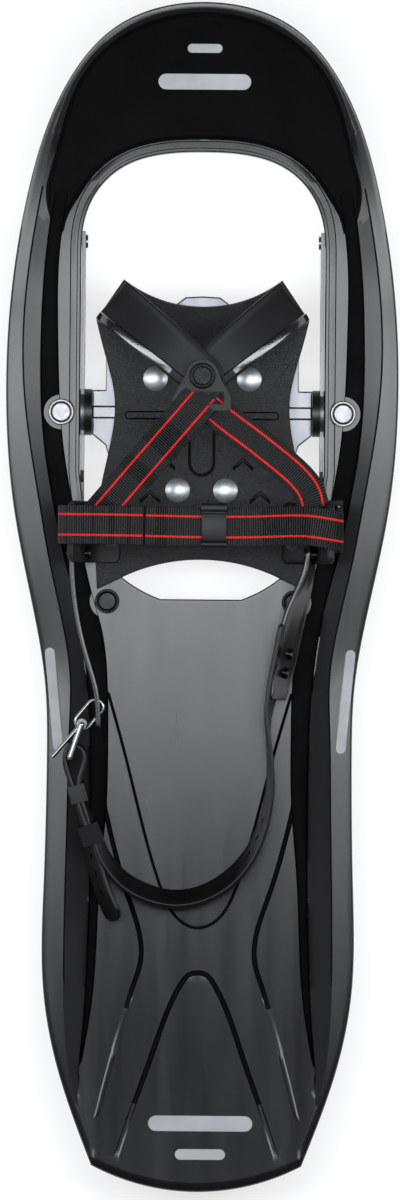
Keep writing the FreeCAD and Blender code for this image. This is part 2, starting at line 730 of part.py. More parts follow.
def make_webbing():
    """One strap of webbing, drawn as its three runs: two legs of a V and the cross band."""
    width = size("webbing_width")
    thick = size("webbing_thick")
    y = size("band_place")
    level = size("band_level")
    profile = [(-72.6, 74), (-72.3, 84.5), (-69.4, 89.8), (-62, 91.4), (-36, level), (36, level), (62, 91.4),
               (69.4, 89.8), (72.3, 84.5), (72.4, 79)]
    points = [Vector(x, y, z) for x, z in profile]
    solid("instep_webbing", ribbon(points, [Vector(0, 1, 0)] * len(points), width, thick))
    legs = {
        "left": [(-7.5, 97, 79.5), (-20, 81.7, 82.5), (-47.3, 48.3, 84.5), (-57, 36.5, 81)],
        "right": [(8.5, 96.5, 79.5), (20, 86, 82.5), (45, 63.4, 84.5), (58.5, 51, 81)],
    }
    for side, route in legs.items():
        points = [Vector(*point) for point in route]
        run = points[-1] - points[0]
        across = Vector(run.y, -run.x, 0)
        solid("toe_webbing_" + side, ribbon(points, [across] * len(points), width - 2, thick))


def make_keeper():
    """Slide round the cross band."""
    outer = block("keeper_outer", "13.4", "23", "5.4", "-0.1", "band_place - 11.5", "band_level - 2.7")
    inner = block("keeper_slot", "20", "20.8", "2.6", "-4", "band_place - 10.4", "band_level - 1.3")
    cut("strap_keeper", outer, inner)


def make_buckle():
    """Cam buckle outside the right wing: back plate with two cheeks, cross pin along Y and lever."""
    plate = [(63.9, 62.4), (64.4, 67.5), (66.6, 77.5), (68.3, 77.5), (66.3, 67.2), (65.6, 62.4)]
    back = cross_plate("buckle_back", plate, "band_place - 13.5", "27")
    cheek = [(63.9, 62.4), (64.4, 67.5), (66.6, 77.5), (73, 77.5), (73.2, 67), (70, 62.4)]
    front_cheek = cross_plate("buckle_front_cheek", cheek, "band_place + 10.5", "3")
    rear_cheek = cross_plate("buckle_rear_cheek", cheek, "band_place - 13.5", "3")
    pin_hole = rod("buckle_pin_hole", "1.25", "40", "70.6", "band_place - 20", "71.5", "Y")
    cut("cam_buckle", fuse("buckle_solids", back, front_cheek, rear_cheek), pin_hole)
    rod("cam_pin", "1.25", "27", "70.6", "band_place - 13.5", "71.5", "Y")
    barrel = rod("lever_barrel", "2.4", "20.2", "70.6", "band_place - 10.1", "71.5", "Y")
    tongue = block("lever_tongue", "2.2", "20.2", "15", "70.8", "band_place - 10.1", "56.5")
    bore = rod("lever_bore", "1.25 + running_gap", "40", "70.6", "band_place - 20", "71.5", "Y")
    cut("cam_lever", fuse("lever_solids", barrel, tongue), bore)


# ---------------------------------------------------------------- heel harness
# Plan points are X and Y at rest. The harness lies in one plane that falls to the rear from its rivets.
ARM_LEFT = [(-66.9, 30.5), (-66.7, 14), (-63.6, -12), (-58.8, -31), (-53.8, -49), (-52.4, -67.5)]
ARM_RIGHT = [(56.1, 30.5), (56.1, 16), (51.5, 0), (40, -52)]
STRAP = [
    (45.4, -13.4), (38.2, -45.4), (35.4, -61), (36.8, -84), (35.2, -110), (28.2, -130), (18, -143.5),
    (2, -153.5), (-11.4, -156), (-24.4, -153.8), (-37.9, -147), (-49, -134), (-57.4, -112), (-62.1, -95),
    (-60.4, -88.6), (-59.4, -82), (-61.2, -77.8), (-64.8, -76.4), (-68, -77.8), (-69.6, -81.6), (-69, -87.5),
    (-66.5, -95), (-61.4, -113), (-55.4, -131), (-50.5, -149), (-42.6, -167),
]
STRAP_REAR = STRAP[3:13]
BUCKLE_FRONT = (-60.9, -65.2)
BUCKLE_REAR = (-66.6, -82.0)


def from_pivot(points):
    return [(x, y - size("heel_place")) for x, y in points]


def harness_piece(name, shape):
    item = solid(name, shape)
    place(item, "0", "heel_place", "heel_level", Rotation(Vector(1, 0, 0), size("heel_tilt")))
    return item


def bar(start, end, radius):
    """Round bar between two points, with round ends."""
    length = (end - start).Length
    middle = Part.makeCylinder(radius, length, start, end - start)
    return middle.multiFuse([Part.makeSphere(radius, start), Part.makeSphere(radius, end)])


def turned_box(centre, direction, across, along, height):
    """Box centred at a plan point, its length turned along a plan direction."""
    box = Part.makeBox(across, along, height, Vector(-across / 2, -along / 2, -height / 2))
    angle = math.degrees(math.atan2(direction[1], direction[0])) - 90
    box.Placement = Placement(Vector(centre[0], centre[1], 0), Rotation(Vector(0, 0, 1), angle))
    return box


def stepped(points, start, step, count):
    """Places every step along a plan path, with the direction of the path there."""
    found = []
    travelled = 0.0
    for first, second in zip(points, points[1:]):
        run = Vector(*second, 0) - Vector(*first, 0)
        while len(found) < count and start + step * len(found) <= travelled + run.Length:
            part_way = (start + step * len(found) - travelled) / run.Length
            found.append((Vector(*first, 0) + run * part_way, Vector(run).normalize()))
        travelled += run.Length
    return found


def rivet_places():
    """Centre and outward direction of the two rivets that fix the strap to the right arm."""
    first, second = [Vector(*point, 0) for point in from_pivot(ARM_RIGHT[-2:])]
    along = Vector(second - first).normalize()
    outward = Vector(-along.y, along.x, 0)
    return [(first + along * distance, outward) for distance in (29, 39)]


def make_heel_arms():
    thick = 2.6
    height = size("heel_arm_height")
    pin = Part.makeCylinder(1.9 + size("running_gap"), 200, Vector(-100, 0, 0), Vector(1, 0, 0))
    round_end = Part.makeCylinder(height / 2, 200, Vector(-100, 0, 0), Vector(1, 0, 0))
    corners = Part.makeBox(200, 20, 40, Vector(-100, 0, -20)).cut(round_end)
    left = on_edge(from_pivot(ARM_LEFT), height, thick).cut(pin).cut(corners)
    slot = Part.makeBox(20, 15.5, 4.4, Vector(-63, -65.5 - size("heel_place"), -2.2))
    harness_piece("heel_arm_left", left.cut(slot))
    right = on_edge(from_pivot(ARM_RIGHT), height, thick).cut(pin).cut(corners)
    for centre, outward in rivet_places():
        right = right.cut(Part.makeCylinder(1.5, 20, centre - outward * 10, outward))
    harness_piece("heel_arm_right", right)


def make_heel_pins():
    """Rivets through wings and arms, on the axis that the harness swings about."""
    rivets = []
    for name, start, end in (("left", -69.7, -57.0), ("right", 53.3, 64.6)):
        length = str(end - start)
        shank = rod(f"heel_rivet_{name}_shank", "1.9", length, str(start), "heel_place", "heel_level", "X")
        heads = [
            rod(f"heel_rivet_{name}_head_{number}", "3.4", "1.3", str(x), "heel_place", "heel_level", "X")
            for number, x in enumerate((start, end - 1.3))
        ]
        rivets.append(fuse("heel_rivet_" + name, shank, *heads))
    group("heel_pivot_rivets", *rivets)


def make_heel_strap():
    thick = size("heel_strap_thick")
    strap = on_edge(from_pivot(STRAP), size("heel_strap_height"), thick)
    drills = rivet_places()
    rear = from_pivot(STRAP_REAR)
    for centre, along in stepped(rear, 31, size("hole_pitch"), 10):
        drills.append((centre, Vector(-along.y, along.x, 0)))
    for centre, along in stepped(from_pivot(STRAP[-4:]), 12, size("hole_pitch"), 4):
        drills.append((centre, Vector(-along.y, along.x, 0)))
    for number, (centre, direction) in enumerate(drills):
        radius = 1.5 if number < 2 else 1.9
        reach = 6 if number < 2 else 4
        strap = strap.cut(Part.makeCylinder(radius, 2 * reach, centre - direction * reach, direction))
    harness_piece("heel_strap", strap)
    rivets = []
    for centre, outward in rivet_places():
        outer = centre + outward * 1.3
        inner = centre - outward * (2.0 + thick)
        shank = Part.makeCylinder(1.5, 7.2, inner - outward, outward)
        head = Part.makeCylinder(3.0, 1.3, outer + outward * 0.05, outward)
        tail = Part.makeCylinder(3.0, 1.3, inner - outward * 1.3, outward)
        rivets.append(shank.multiFuse([head, tail]))
    harness_piece("heel_strap_rivets", Part.makeCompound(rivets))


def make_heel_buckle():
    """Wire ring in the end of the left arm, steel frame, prong, clip and keeper."""
    front, rear = [Vector(*point, 0) for point in from_pivot([BUCKLE_FRONT, BUCKLE_REAR])]
    lift = Vector(0, 0, 11)
    corners = [front + lift, rear + lift, rear - lift, front - lift]
    rods = [bar(first, second, 1.5) for first, second in zip(corners, corners[1:] + corners[:1])]
    harness_piece("heel_buckle", rods[0].multiFuse(rods[1:]))

    near, far = [Vector(*point, 0) for point in from_pivot([(-54.0, -57.0), (-60.0, -64.2)])]
    run = far - near
    along = Vector(run).normalize()
    side = Vector(-along.y, along.x, 0) * 4
    wire = Part.Wire([
        Part.makeLine(near + side, far + side),
        Part.Arc(far + side, far + along * 4, far - side).toShape(),
        Part.makeLine(far - side, near - side),
        Part.Arc(near - side, near - along * 4, near + side).toShape(),
    ])
    section = Part.Wire([Part.makeCircle(1.0, near + side, run)])
    harness_piece("heel_ring", wire.makePipeShell([section], True, False))

    tip = Vector(-76, -82.5 - size("heel_place"), 4)
    root = front + Vector(0, 0, 4)
    reach = tip - root
    along = Vector(reach).normalize()
    rod_shape = Part.makeCylinder(1.1, reach.Length - 2, root + along * 2, along)
    sleeve = Part.makeCylinder(2.7, 3.2, root - Vector(0, 0, 1.6))
    bore = Part.makeCylinder(1.5 + size("running_gap"), 20, root - Vector(0, 0, 10))
    harness_piece("heel_prong", rod_shape.fuse(sleeve).cut(bore))

    slope = (4.2, -15.2)
    centre = from_pivot([(-62.7, -101.2)])[0]
    shell = turned_box(centre, slope, 9.0, 9.3, 20.6)
    harness_piece("heel_clip", shell.cut(turned_box(centre, slope, 7.4, 20, 19.0)))
    slope = (7.8, -20.5)
    centre = from_pivot([(-56.0, -122.2)])[0]
    shell = turned_box(centre, slope, 10.8, 10.6, 21.4)
    harness_piece("heel_keeper", shell.cut(turned_box(centre, slope, 8.0, 24, 19.0)))


# ---------------------------------------------------------------- build, check and write
NODES = [
    "deck", "traction_rail_left", "traction_rail_right", "pivot_rivets", "deck_rear_rivets", "rail_nose_pins",
    "pivot_axle", "pivot_bush_left", "pivot_bush_right",
    "crampon", "footbed", "footbed_rivets", "wing_rivets",
    "toe_arm_left", "toe_arm_right", "toe_screw", "toe_nut", "strap_loop",
    "side_wing_left", "side_wing_right", "toe_webbing_left", "toe_webbing_right", "instep_webbing",
    "strap_keeper", "cam_buckle", "cam_pin", "cam_lever",
    "heel_pivot_rivets", "heel_arm_left", "heel_arm_right", "heel_strap", "heel_strap_rivets", "heel_ring",
    "heel_buckle", "heel_prong", "heel_clip", "heel_keeper",
]


def main():
    make_deck()
    make_deck_fittings()
    make_crampon()
    make_footbed()
    make_bed_fittings()
    make_toe_harness()
    make_wing("side_wing_right", 0)
    make_wing("side_wing_left", 180)
    make_webbing()
    make_keeper()
    make_buckle()
    make_heel_arms()
    make_heel_pins()
    make_heel_strap()
    make_heel_buckle()
    doc.recompute()

    failed = [item.Label for item in doc.Objects if "Invalid" in item.State or "Error" in item.State]
    if failed:
        raise RuntimeError(f"objects that did not recompute: {failed}")
    os.makedirs("parts", exist_ok=True)
    for label in NODES:
        shape = doc.getObjectsByLabel(label)[0].Shape
        if shape.isNull() or not shape.isValid() or not shape.Solids:
            raise RuntimeError(f"{label} has no valid solid")
        box = shape.BoundBox
        corners = [round(value, 1) for value in (box.XMin, box.YMin, box.ZMin, box.XMax, box.YMax, box.ZMax)]
        print(label, len(shape.Solids), round(shape.Volume), corners)
        shape.exportStep(f"parts/{label}.step")


main()
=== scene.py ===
"""Looks of the snowshoe: a moulded deck, a bound toe harness in webbing and rubber, and a heel strap.

Plan points are millimetres in the CAD frame: X to the right, Y to the toe, Z up from the ground.
"""

import math
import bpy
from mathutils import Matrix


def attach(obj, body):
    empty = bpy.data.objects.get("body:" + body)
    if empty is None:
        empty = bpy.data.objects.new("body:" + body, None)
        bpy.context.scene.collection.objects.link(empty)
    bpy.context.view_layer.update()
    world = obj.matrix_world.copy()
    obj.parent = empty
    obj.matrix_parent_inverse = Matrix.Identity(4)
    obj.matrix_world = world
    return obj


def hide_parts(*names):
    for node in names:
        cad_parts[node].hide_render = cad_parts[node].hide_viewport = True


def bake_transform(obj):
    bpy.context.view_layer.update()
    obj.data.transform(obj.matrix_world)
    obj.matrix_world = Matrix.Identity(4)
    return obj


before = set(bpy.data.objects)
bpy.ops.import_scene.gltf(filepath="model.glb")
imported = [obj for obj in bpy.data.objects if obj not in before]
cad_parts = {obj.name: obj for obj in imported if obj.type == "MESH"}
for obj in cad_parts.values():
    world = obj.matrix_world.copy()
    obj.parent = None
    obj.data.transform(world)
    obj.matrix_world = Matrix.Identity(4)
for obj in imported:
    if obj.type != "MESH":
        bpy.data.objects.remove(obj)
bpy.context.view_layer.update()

from types import SimpleNamespace

import bmesh
import bpy
import numpy as np
from mathutils import Matrix, Vector, geometry, kdtree

MM = 0.001
LINE_STEP = 3.0
ROUND = 40


# ---- paths
def smooth(points, step=LINE_STEP):
    """Natural cubic spline through the points, sampled about every step."""
    knots = np.array(points, float)
    runs = np.linalg.norm(np.diff(knots, axis=0), axis=1)
    lengths = np.concatenate([[0.0], np.cumsum(runs)])
    last = len(knots) - 1
    slopes = np.diff(knots, axis=0) / runs[:, None]
    system = np.eye(last + 1)
    right = np.zeros_like(knots)
    for i in range(1, last):
        system[i, i - 1:i + 2] = runs[i - 1], 2 * (runs[i - 1] + runs[i]), runs[i]
        right[i] = 6 * (slopes[i] - slopes[i - 1])
    bends = np.linalg.solve(system, right)
    at = np.linspace(0, lengths[-1], max(2, round(lengths[-1] / step)) + 1)
    i = np.clip(np.searchsorted(lengths, at, side="right") - 1, 0, last - 1)
    run = runs[i][:, None]
    ahead = (lengths[i + 1] - at)[:, None]
    behind = (at - lengths[i])[:, None]
    curve = (bends[i] * ahead ** 3 + bends[i + 1] * behind ** 3) / (6 * run)
    curve += (knots[i] / run - bends[i] * run / 6) * ahead
    return curve + (knots[i + 1] / run - bends[i + 1] * run / 6) * behind


def travel(path):
    """Distance from the start at each point of a path."""
    return np.concatenate([[0.0], np.cumsum(np.linalg.norm(np.diff(path, axis=0), axis=1))])


def divided(points, step=LINE_STEP):
    """Straight runs through the points, sampled about every step."""
    found = [np.array(points[0], float)]
    for first, second in zip(points, points[1:]):
        first, second = np.array(first, float), np.array(second, float)
        count = max(1, round(np.linalg.norm(second - first) / step))
        found += [first + (second - first) * n / count for n in range(1, count + 1)]
    return np.array(found)


def arc(start, middle, end, step=LINE_STEP):
    """Arc through three plan points."""
    (ax, ay), (bx, by), (cx, cy) = start, middle, end
    d = 2 * (ax * (by - cy) + bx * (cy - ay) + cx * (ay - by))
    squares = ax * ax + ay * ay, bx * bx + by * by, cx * cx + cy * cy
    ox = (squares[0] * (by - cy) + squares[1] * (cy - ay) + squares[2] * (ay - by)) / d
    oy = (squares[0] * (cx - bx) + squares[1] * (ax - cx) + squares[2] * (bx - ax)) / d
    radius = math.hypot(ax - ox, ay - oy)
    first, mid, last = [math.atan2(y - oy, x - ox) for x, y in (start, middle, end)]
    turn = (last - first) % math.tau
    if (mid - first) % math.tau > turn:
        turn -= math.tau
    count = max(4, round(abs(turn) * radius / step))
    angles = first + turn * np.arange(count + 1) / count
    return np.stack([ox + radius * np.cos(angles), oy + radius * np.sin(angles)], 1)


def ring(x, y, radius, count=24):
    """Closed circle round a plan point."""
    angles = math.tau * np.arange(count) / count
    return np.stack([x + radius * np.cos(angles), y + radius * np.sin(angles)], 1)


def bar_outline(x, y, length, width, angle=0.0):
    """Closed outline of a bar with round ends, centred on a plan point."""
    half, radius = length / 2 - width / 2, width / 2
    turn = math.radians(angle)
    steps = 8
    points = []
    for centre, start in ((half, -90), (-half, 90)):
        for step in range(steps + 1):
            way = math.radians(start + step * 180 / steps)
            points.append((centre + radius * math.cos(way), radius * math.sin(way)))
    return np.array([
        (x + px * math.cos(turn) - py * math.sin(turn), y + px * math.sin(turn) + py * math.cos(turn))
        for px, py in points
    ])


def mirror(points):
    """The same path on the other side, in the opposite order."""
    return [(-x, y) for x, y in reversed(points)]


def whole(half):
    """A path that starts on the middle line, with its mirror image before it."""
    return mirror(half)[:-1] + list(half)


def joined(*paths):
    """Open paths end to end as one closed loop."""
    points = []
    for path in paths:
        points += list(path[:-1])
    return np.array(points)


def cornered(corners, run_step, turn_step):
    """Closed outline from its corners: each has a start, a middle (None if it is straight) and an end."""
    paths = []
    for index, (start, middle, end) in enumerate(corners):
        paths.append(divided([corners[index - 1][2], start], run_step))
        paths.append(arc(start, middle, end, turn_step) if middle else divided([start, end], run_step))
    return joined(*paths)


def unit(rows):
    """Rows of vectors at a length of 1."""
    return rows / np.linalg.norm(rows, axis=1)[:, None]


def aside(path, distance, closed=True):
    """Every point of a path moved to the right of its direction."""
    run = np.roll(path, -1, 0) - np.roll(path, 1, 0)
    if not closed:
        run[0], run[-1] = path[1] - path[0], path[-1] - path[-2]
    run = unit(run)
    return path + np.stack([run[:, 1], -run[:, 0]], 1) * distance


def clockwise(loop):
    """Whether a closed loop runs clockwise."""
    x, y = loop[:, 0], loop[:, 1]
    return np.sum(x * np.roll(y, -1) - np.roll(x, -1) * y) < 0


def inset(loop, amount):
    """Loop moved inwards, whichever way round it runs."""
    return aside(loop, amount if clockwise(loop) else -amount)


def distance(points, path, closed=True):
    """Distance from each plan point to a path."""
    ends = np.roll(path, -1, 0) if closed else path[1:]
    starts = path if closed else path[:-1]
    best = np.full(len(points), 1e9)
    for first, second in zip(starts, ends):
        run = second - first
        share = np.clip(((points - first) @ run) / max(run @ run, 1e-12), 0, 1)
        best = np.minimum(best, np.linalg.norm(points - first - share[:, None] * run, axis=1))
    return best


def beside(points, path, outer, inner):
    """0 farther than outer from an open path, 1 nearer than inner."""
    return ramp(-distance(points, path, closed=False), -outer, -inner)


def inside(points, loop):
    """Whether each plan point is inside a closed loop."""
    x, y = points[:, 0], points[:, 1]
    found = np.zeros(len(points), bool)
    for (ax, ay), (bx, by) in zip(loop, np.roll(loop, -1, 0)):
        crosses = (ay > y) != (by > y)
        if ay != by:
            found ^= crosses & (x < (bx - ax) * (y - ay) / (by - ay) + ax)
    return found


def ramp(value, start, end):
    """0 before the start, 1 past the end and a straight line between them."""
    return np.clip((value - start) / (end - start), 0, 1)


# ---- meshes
def tile(outline, holes, loops, lines, spacing):
    """Plan points and triangles that fill an outline, keep out of its holes and follow every line."""
    row_pitch, clearance = 0.87, 0.6
    paths = [(outline, True)]
    paths += [(path, True) for path in (*holes, *loops)]
    paths += [(path, False) for path in lines]
    points = []
    edges = []
    for path, closed in paths:
        start = len(points)
        points += [tuple(p) for p in path]
        count = len(path)
        edges += [(start + i, start + (i + 1) % count) for i in range(count if closed else count - 1)]
    tree = kdtree.KDTree(len(points))
    for index, (x, y) in enumerate(points):
        tree.insert((x, y, 0), index)
    tree.balance()
    low, high = np.min(outline, 0), np.max(outline, 0)
    rows = np.arange(low[1] + spacing / 2, high[1], spacing * row_pitch)
    grid = np.array([
        (x + (number % 2) * spacing / 2, y)
        for number, y in enumerate(rows) for x in np.arange(low[0], high[0], spacing)
    ])
    wanted = inside(grid, outline)
    for hole in holes:
        wanted &= ~inside(grid, hole)
    for x, y in grid[wanted]:
        if tree.find((x, y, 0))[2] > spacing * clearance:
            points.append((x, y))
    made = geometry.delaunay_2d_cdt([Vector(p) for p in points], edges, [], 0, 1e-4, False)
    plan = np.array([tuple(v) for v in made[0]])
    faces = np.array([f for f in made[2] if len(f) == 3])
    middles = plan[faces].mean(1)
    keep = inside(middles, outline)
    for hole in holes:
        keep &= ~inside(middles, hole)
    return plan, faces[keep]


def closed_sheet(plan, faces, top, bottom, groups=None):
    """Closed solid between two heights over a tiled plan; each group of faces has its own bottom."""
    groups = np.zeros(len(faces), int) if groups is None else groups
    verts = [(x, y, z) for (x, y), z in zip(plan, top)]
    made = [tuple(f) for f in faces]
    lower = {}

    def below(index, group):
        key = (index, group)
        if key not in lower:
            lower[key] = len(verts)
            verts.append((plan[index][0], plan[index][1], bottom[group][index]))
        return lower[key]

    sides = {}
    for face, group in zip(faces, groups):
        a, b, c = (int(i) for i in face)
        made.append((below(a, group), below(c, group), below(b, group)))
        for first, second in ((a, b), (b, c), (c, a)):
            sides[(first, second)] = group
    for (first, second), group in sides.items():
        other = sides.get((second, first))
        if other is None:
            made.append((second, first, below(first, group), below(second, group)))
        elif other != group and group > other:
            made.append((below(second, other), below(first, other),
                         below(first, group), below(second, group)))
    return np.array(verts), made


def placed(name, data):
    """A new object in the scene."""
    item = bpy.data.objects.new(name, data)
    bpy.context.scene.collection.objects.link(item)
    return item


def build(name, verts, faces, materials, kinds=None, sharp=30.0):
    """A mesh object from points in millimetres; kinds picks a material for each face."""
    mesh = bpy.data.meshes.new(name)
    mesh.from_pydata([tuple(v) for v in verts * MM], [], faces)
    for material in materials:
        mesh.materials.append(material)
    if kinds is not None:
        mesh.polygons.foreach_set("material_index", list(kinds))
    mesh.validate()
    mesh.update()
    mesh.shade_smooth()
    mesh.set_sharp_from_angle(angle=math.radians(sharp))
    return placed(name, mesh)


def piece(item, body, slot, *nodes):
    """Puts a mesh on its body, in place of CAD nodes; slot is not used."""
    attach(item, body)
    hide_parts(*nodes)


def straighten(item):
    """Turns every face outwards."""
    work = bmesh.new()
    work.from_mesh(item.data)
    bmesh.ops.recalc_face_normals(work, faces=work.faces)
    work.to_mesh(item.data)
    work.free()


def merged(parts):
    """Vertices and faces of several meshes as one."""
    verts = []
    faces = []
    for part_verts, part_faces in parts:
        start = sum(len(v) for v in verts)
        verts.append(part_verts)
        faces += [tuple(int(i) + start for i in f) for f in part_faces]
    return np.concatenate(verts), faces


def prism(outline, start, end, axis="Z"):
    """Closed outline carried along an axis, from start to end."""
    outline = np.asarray(outline, float)
    count = len(outline)
    across, up, along = {"Z": (0, 1, 2), "X": (1, 2, 0), "Y": (0, 2, 1)}[axis]
    verts = np.zeros((2 * count, 3))
    for row, level in ((0, start), (count, end)):
        verts[row:row + count, [across, up]] = outline
        verts[row:row + count, along] = level
    faces = [tuple(reversed(range(count))), tuple(range(count, 2 * count))]
    faces += [(i, (i + 1) % count, count + (i + 1) % count, count + i) for i in range(count)]
    if clockwise(outline) != (axis == "Y"):
        faces = [tuple(reversed(f)) for f in faces]
    return verts, faces


def tube_faces(rings, count):
    """Quads between rings of points in a row, and a cap on each end."""
    faces = [
        (a * count + b, a * count + (b + 1) % count, (a + 1) * count + (b + 1) % count, (a + 1) * count + b)
        for a in range(rings - 1) for b in range(count)
    ]
    last = (rings - 1) * count
    return faces + [tuple(reversed(range(count))), tuple(range(last, last + count))]


def lathe(profile, x, y):
    """Closed solid of a half profile of radius and height turned about an upright axis."""
    verts = []
    for radius, level in profile:
        verts += [(px, py, level) for px, py in ring(x, y, max(radius, 0.01), ROUND)]
    return np.array(verts), tube_faces(len(profile), ROUND)


def frames(path, sides):
    """Across and up directions at each point of a 3-D path."""
    run = unit(np.gradient(path, axis=0))
    sides = unit(sides - np.sum(sides * run, 1)[:, None] * run)
    return sides, np.cross(run, sides)


def sweep(path, sides, section):
    """Closed solid with section(station, travelled) as its (across, up) points at each station.

    Each side face also gets the number of its column, and the two caps get 0.
    """
    across, up = frames(path, sides)
    travelled = travel(path)
    verts = []
    for index, point in enumerate(path):
        outline = np.asarray(section(index, travelled[index]), float)
        verts += list(point + outline[:, :1] * across[index] + outline[:, 1:] * up[index])
    count = len(outline)
    kinds = list(range(count)) * (len(path) - 1)
    return np.array(verts), tube_faces(len(path), count), kinds + [0, 0]


def sheet_on_path(plan, path, sides):
    """Carries points (travelled, across, up) of a flat strap onto a 3-D path."""
    across, up = frames(path, sides)
    travelled = travel(path)

    def along(values):
        return np.stack([np.interp(plan[:, 0], travelled, values[:, k]) for k in range(3)], 1)

    return along(path) + unit(along(across)) * plan[:, 1:2] + unit(along(up)) * plan[:, 2:3]


# ---- materials
def node_material(name):
    """A new material with its node tree and its shader."""
    material = bpy.data.materials.new(name)
    material.use_nodes = True
    tree = material.node_tree
    return material, tree, tree.nodes["Principled BSDF"]


def put(node, values):
    """Sets a node's sockets and properties."""
    for key, value in values.items():
        if key in node.inputs:
            node.inputs[key].default_value = value
        else:
            setattr(node, key, value)
    return node


def add(tree, kind, **values):
    """A new node with its sockets and properties set."""
    return put(tree.nodes.new(kind), values)


def noise(tree, scale, detail, stretch=(1, 1, 1)):
    """Noise in object space, in waves per metre along each axis."""
    place = add(tree, "ShaderNodeTexCoord")
    mapping = add(tree, "ShaderNodeMapping", Scale=[scale * s for s in stretch])
    texture = add(tree, "ShaderNodeTexNoise", Scale=1.0, Detail=detail, Roughness=0.6)
    tree.links.new(place.outputs["Object"], mapping.inputs["Vector"])
    tree.links.new(mapping.outputs["Vector"], texture.inputs["Vector"])
    return texture.outputs["Fac"]


def mapped(tree, value, start, end, low, high):
    """Maps the range from start to end onto the one from low to high."""
    sockets = {"From Min": start, "From Max": end, "To Min": low, "To Max": high}
    node = add(tree, "ShaderNodeMapRange", **sockets)
    tree.links.new(value, node.inputs["Value"])
    return node.outputs["Result"]


def tinted(tree, factor, dark, light):
    """Colour between two tones by a noise."""
    node = add(tree, "ShaderNodeValToRGB")
    node.color_ramp.elements[0].position = 0.32
    node.color_ramp.elements[1].position = 0.68
    node.color_ramp.elements[0].color = (*dark, 1)
    node.color_ramp.elements[1].color = (*light, 1)
    tree.links.new(factor, node.inputs["Fac"])
    return node.outputs["Color"]


def finish_of(name, dark, light, rough, grain, depth, metallic=0.0, specular=0.5,
              stretch=(1, 1, 1), blotch=35.0, edge=0.0):
    """One moulded, rubber or metal finish: colour and gloss vary in blotches, grain is bump.

    grain and blotch are waves per metre; depth and edge (the rounding seen at its edges) are metres.
    """
    material, tree, shader = node_material(name)
    spots = noise(tree, blotch, 5.0, stretch)
    tree.links.new(tinted(tree, spots, dark, light), shader.inputs["Base Color"])
    gloss = noise(tree, blotch * 2.3, 6.0, stretch)
    tree.links.new(mapped(tree, gloss, 0.3, 0.7, *rough), shader.inputs["Roughness"])
    put(shader, {"Metallic": metallic, "Specular IOR Level": specular})
    bump = add(tree, "ShaderNodeBump", Strength=1.0, Distance=depth)
    tree.links.new(noise(tree, grain, 3.0, stretch), bump.inputs["Height"])
    tree.links.new(bump.outputs["Normal"], shader.inputs["Normal"])
    if edge:
        rounded = add(tree, "ShaderNodeBevel", samples=4, Radius=edge)
        tree.links.new(rounded.outputs["Normal"], bump.inputs["Normal"])
    return material


def grey(value):
    """Grey with a trace of blue."""
    return (value, value, value * 1.04)


deck_black = finish_of("deck_plastic", (0.003, 0.003, 0.0036), (0.005, 0.005, 0.0058), (0.2, 0.28),
                       900, 2.2e-5, stretch=(1, 0.08, 1))
# Painted shade: a darker, barely reflective colour put where grooves, channels, the nose dish, the crease and
# the gaps of rivets and foot bed lie in shade
painted_shade_finish = finish_of("painted_shade_finish", grey(0.0012), grey(0.0022), (0.6, 0.7), 900, 3e-5, specular=0.04)
deck_pale = finish_of("pale_inlay", grey(0.26), grey(0.34), (0.6, 0.7), 1500, 1e-5, specular=0.1)
bed_black = finish_of("footbed_nylon", grey(0.0008), grey(0.01), (0.34, 0.48), 1100, 9e-4,
                      specular=0.42, blotch=800)
arm_black = finish_of("arm_rubber", grey(0.003), grey(0.006), (0.5, 0.6), 1400, 6e-5, specular=0.24)
arm_gloss = finish_of("arm_rolled_edge", grey(0.004), grey(0.008), (0.1, 0.18), 900, 4e-5, specular=1.0)
heel_arm_black = finish_of("heel_arm_rubber", grey(0.003), grey(0.006), (0.18, 0.26), 900, 4e-5)
moulded_black = finish_of("moulded_black", grey(0.002), grey(0.004), (0.45, 0.58), 1400, 6e-5,
                          specular=0.1, edge=4e-4)
loop_grey = finish_of("loop_polymer", grey(0.004), grey(0.007), (0.4, 0.5), 1400, 6e-5,
                      specular=0.2, edge=5e-4)
keeper_black = finish_of("keeper_black", grey(0.003), grey(0.005), (0.38, 0.46), 1400, 4e-5,
                         specular=0.2, edge=4e-4)
strap_black = finish_of("strap_rubber", grey(0.002), grey(0.005), (0.3, 0.4), 1200, 4e-5, specular=0.2)
screw_finish = finish_of("screw_black", grey(0.002), grey(0.006), (0.22, 0.4), 900, 9e-4, specular=0.35)
bush_black = finish_of("black_bush", grey(0.003), grey(0.006), (0.3, 0.4), 1500, 2e-5,
                       specular=0.3, edge=4e-4)


def metal(*look, **more):
    """A finish of bare or coated metal."""
    return finish_of(*look, metallic=1.0, **more)


steel = metal("crampon_steel", (0.12, 0.123, 0.13), (0.19, 0.193, 0.2), (0.34, 0.46), 700, 5e-5,
              stretch=(1, 0.2, 1), edge=4e-4)
rail_finish = metal("rail_steel", (0.12, 0.122, 0.126), (0.17, 0.172, 0.178), (0.4, 0.5), 700, 3e-5,
                    stretch=(1, 0.15, 1), edge=3e-4)
silver = metal("silver_rivet", (0.26, 0.262, 0.268), (0.36, 0.362, 0.37), (0.42, 0.55), 1800, 1e-4,
               blotch=160)
dome_silver = metal("dome_rivet", (0.42, 0.45, 0.47), (0.6, 0.63, 0.65), (0.4, 0.5), 1500, 6e-5, blotch=260)
dark_steel = metal("dark_rivet", (0.012, 0.012, 0.013), (0.03, 0.03, 0.031), (0.35, 0.45), 1800, 8e-5,
                   blotch=160)
pin_finish = metal("pin_steel", (0.12, 0.123, 0.13), (0.2, 0.203, 0.21), (0.25, 0.35), 1500, 2e-5, edge=3e-4)
wire_finish = metal("wire_steel", (0.18, 0.183, 0.19), (0.3, 0.303, 0.31), (0.18, 0.28), 1500, 2e-5,
                    edge=3e-4)
clip_steel = metal("clip_steel", (0.012, 0.012, 0.013), (0.03, 0.03, 0.031), (0.3, 0.42), 1500, 4e-5,
                   edge=4e-4)


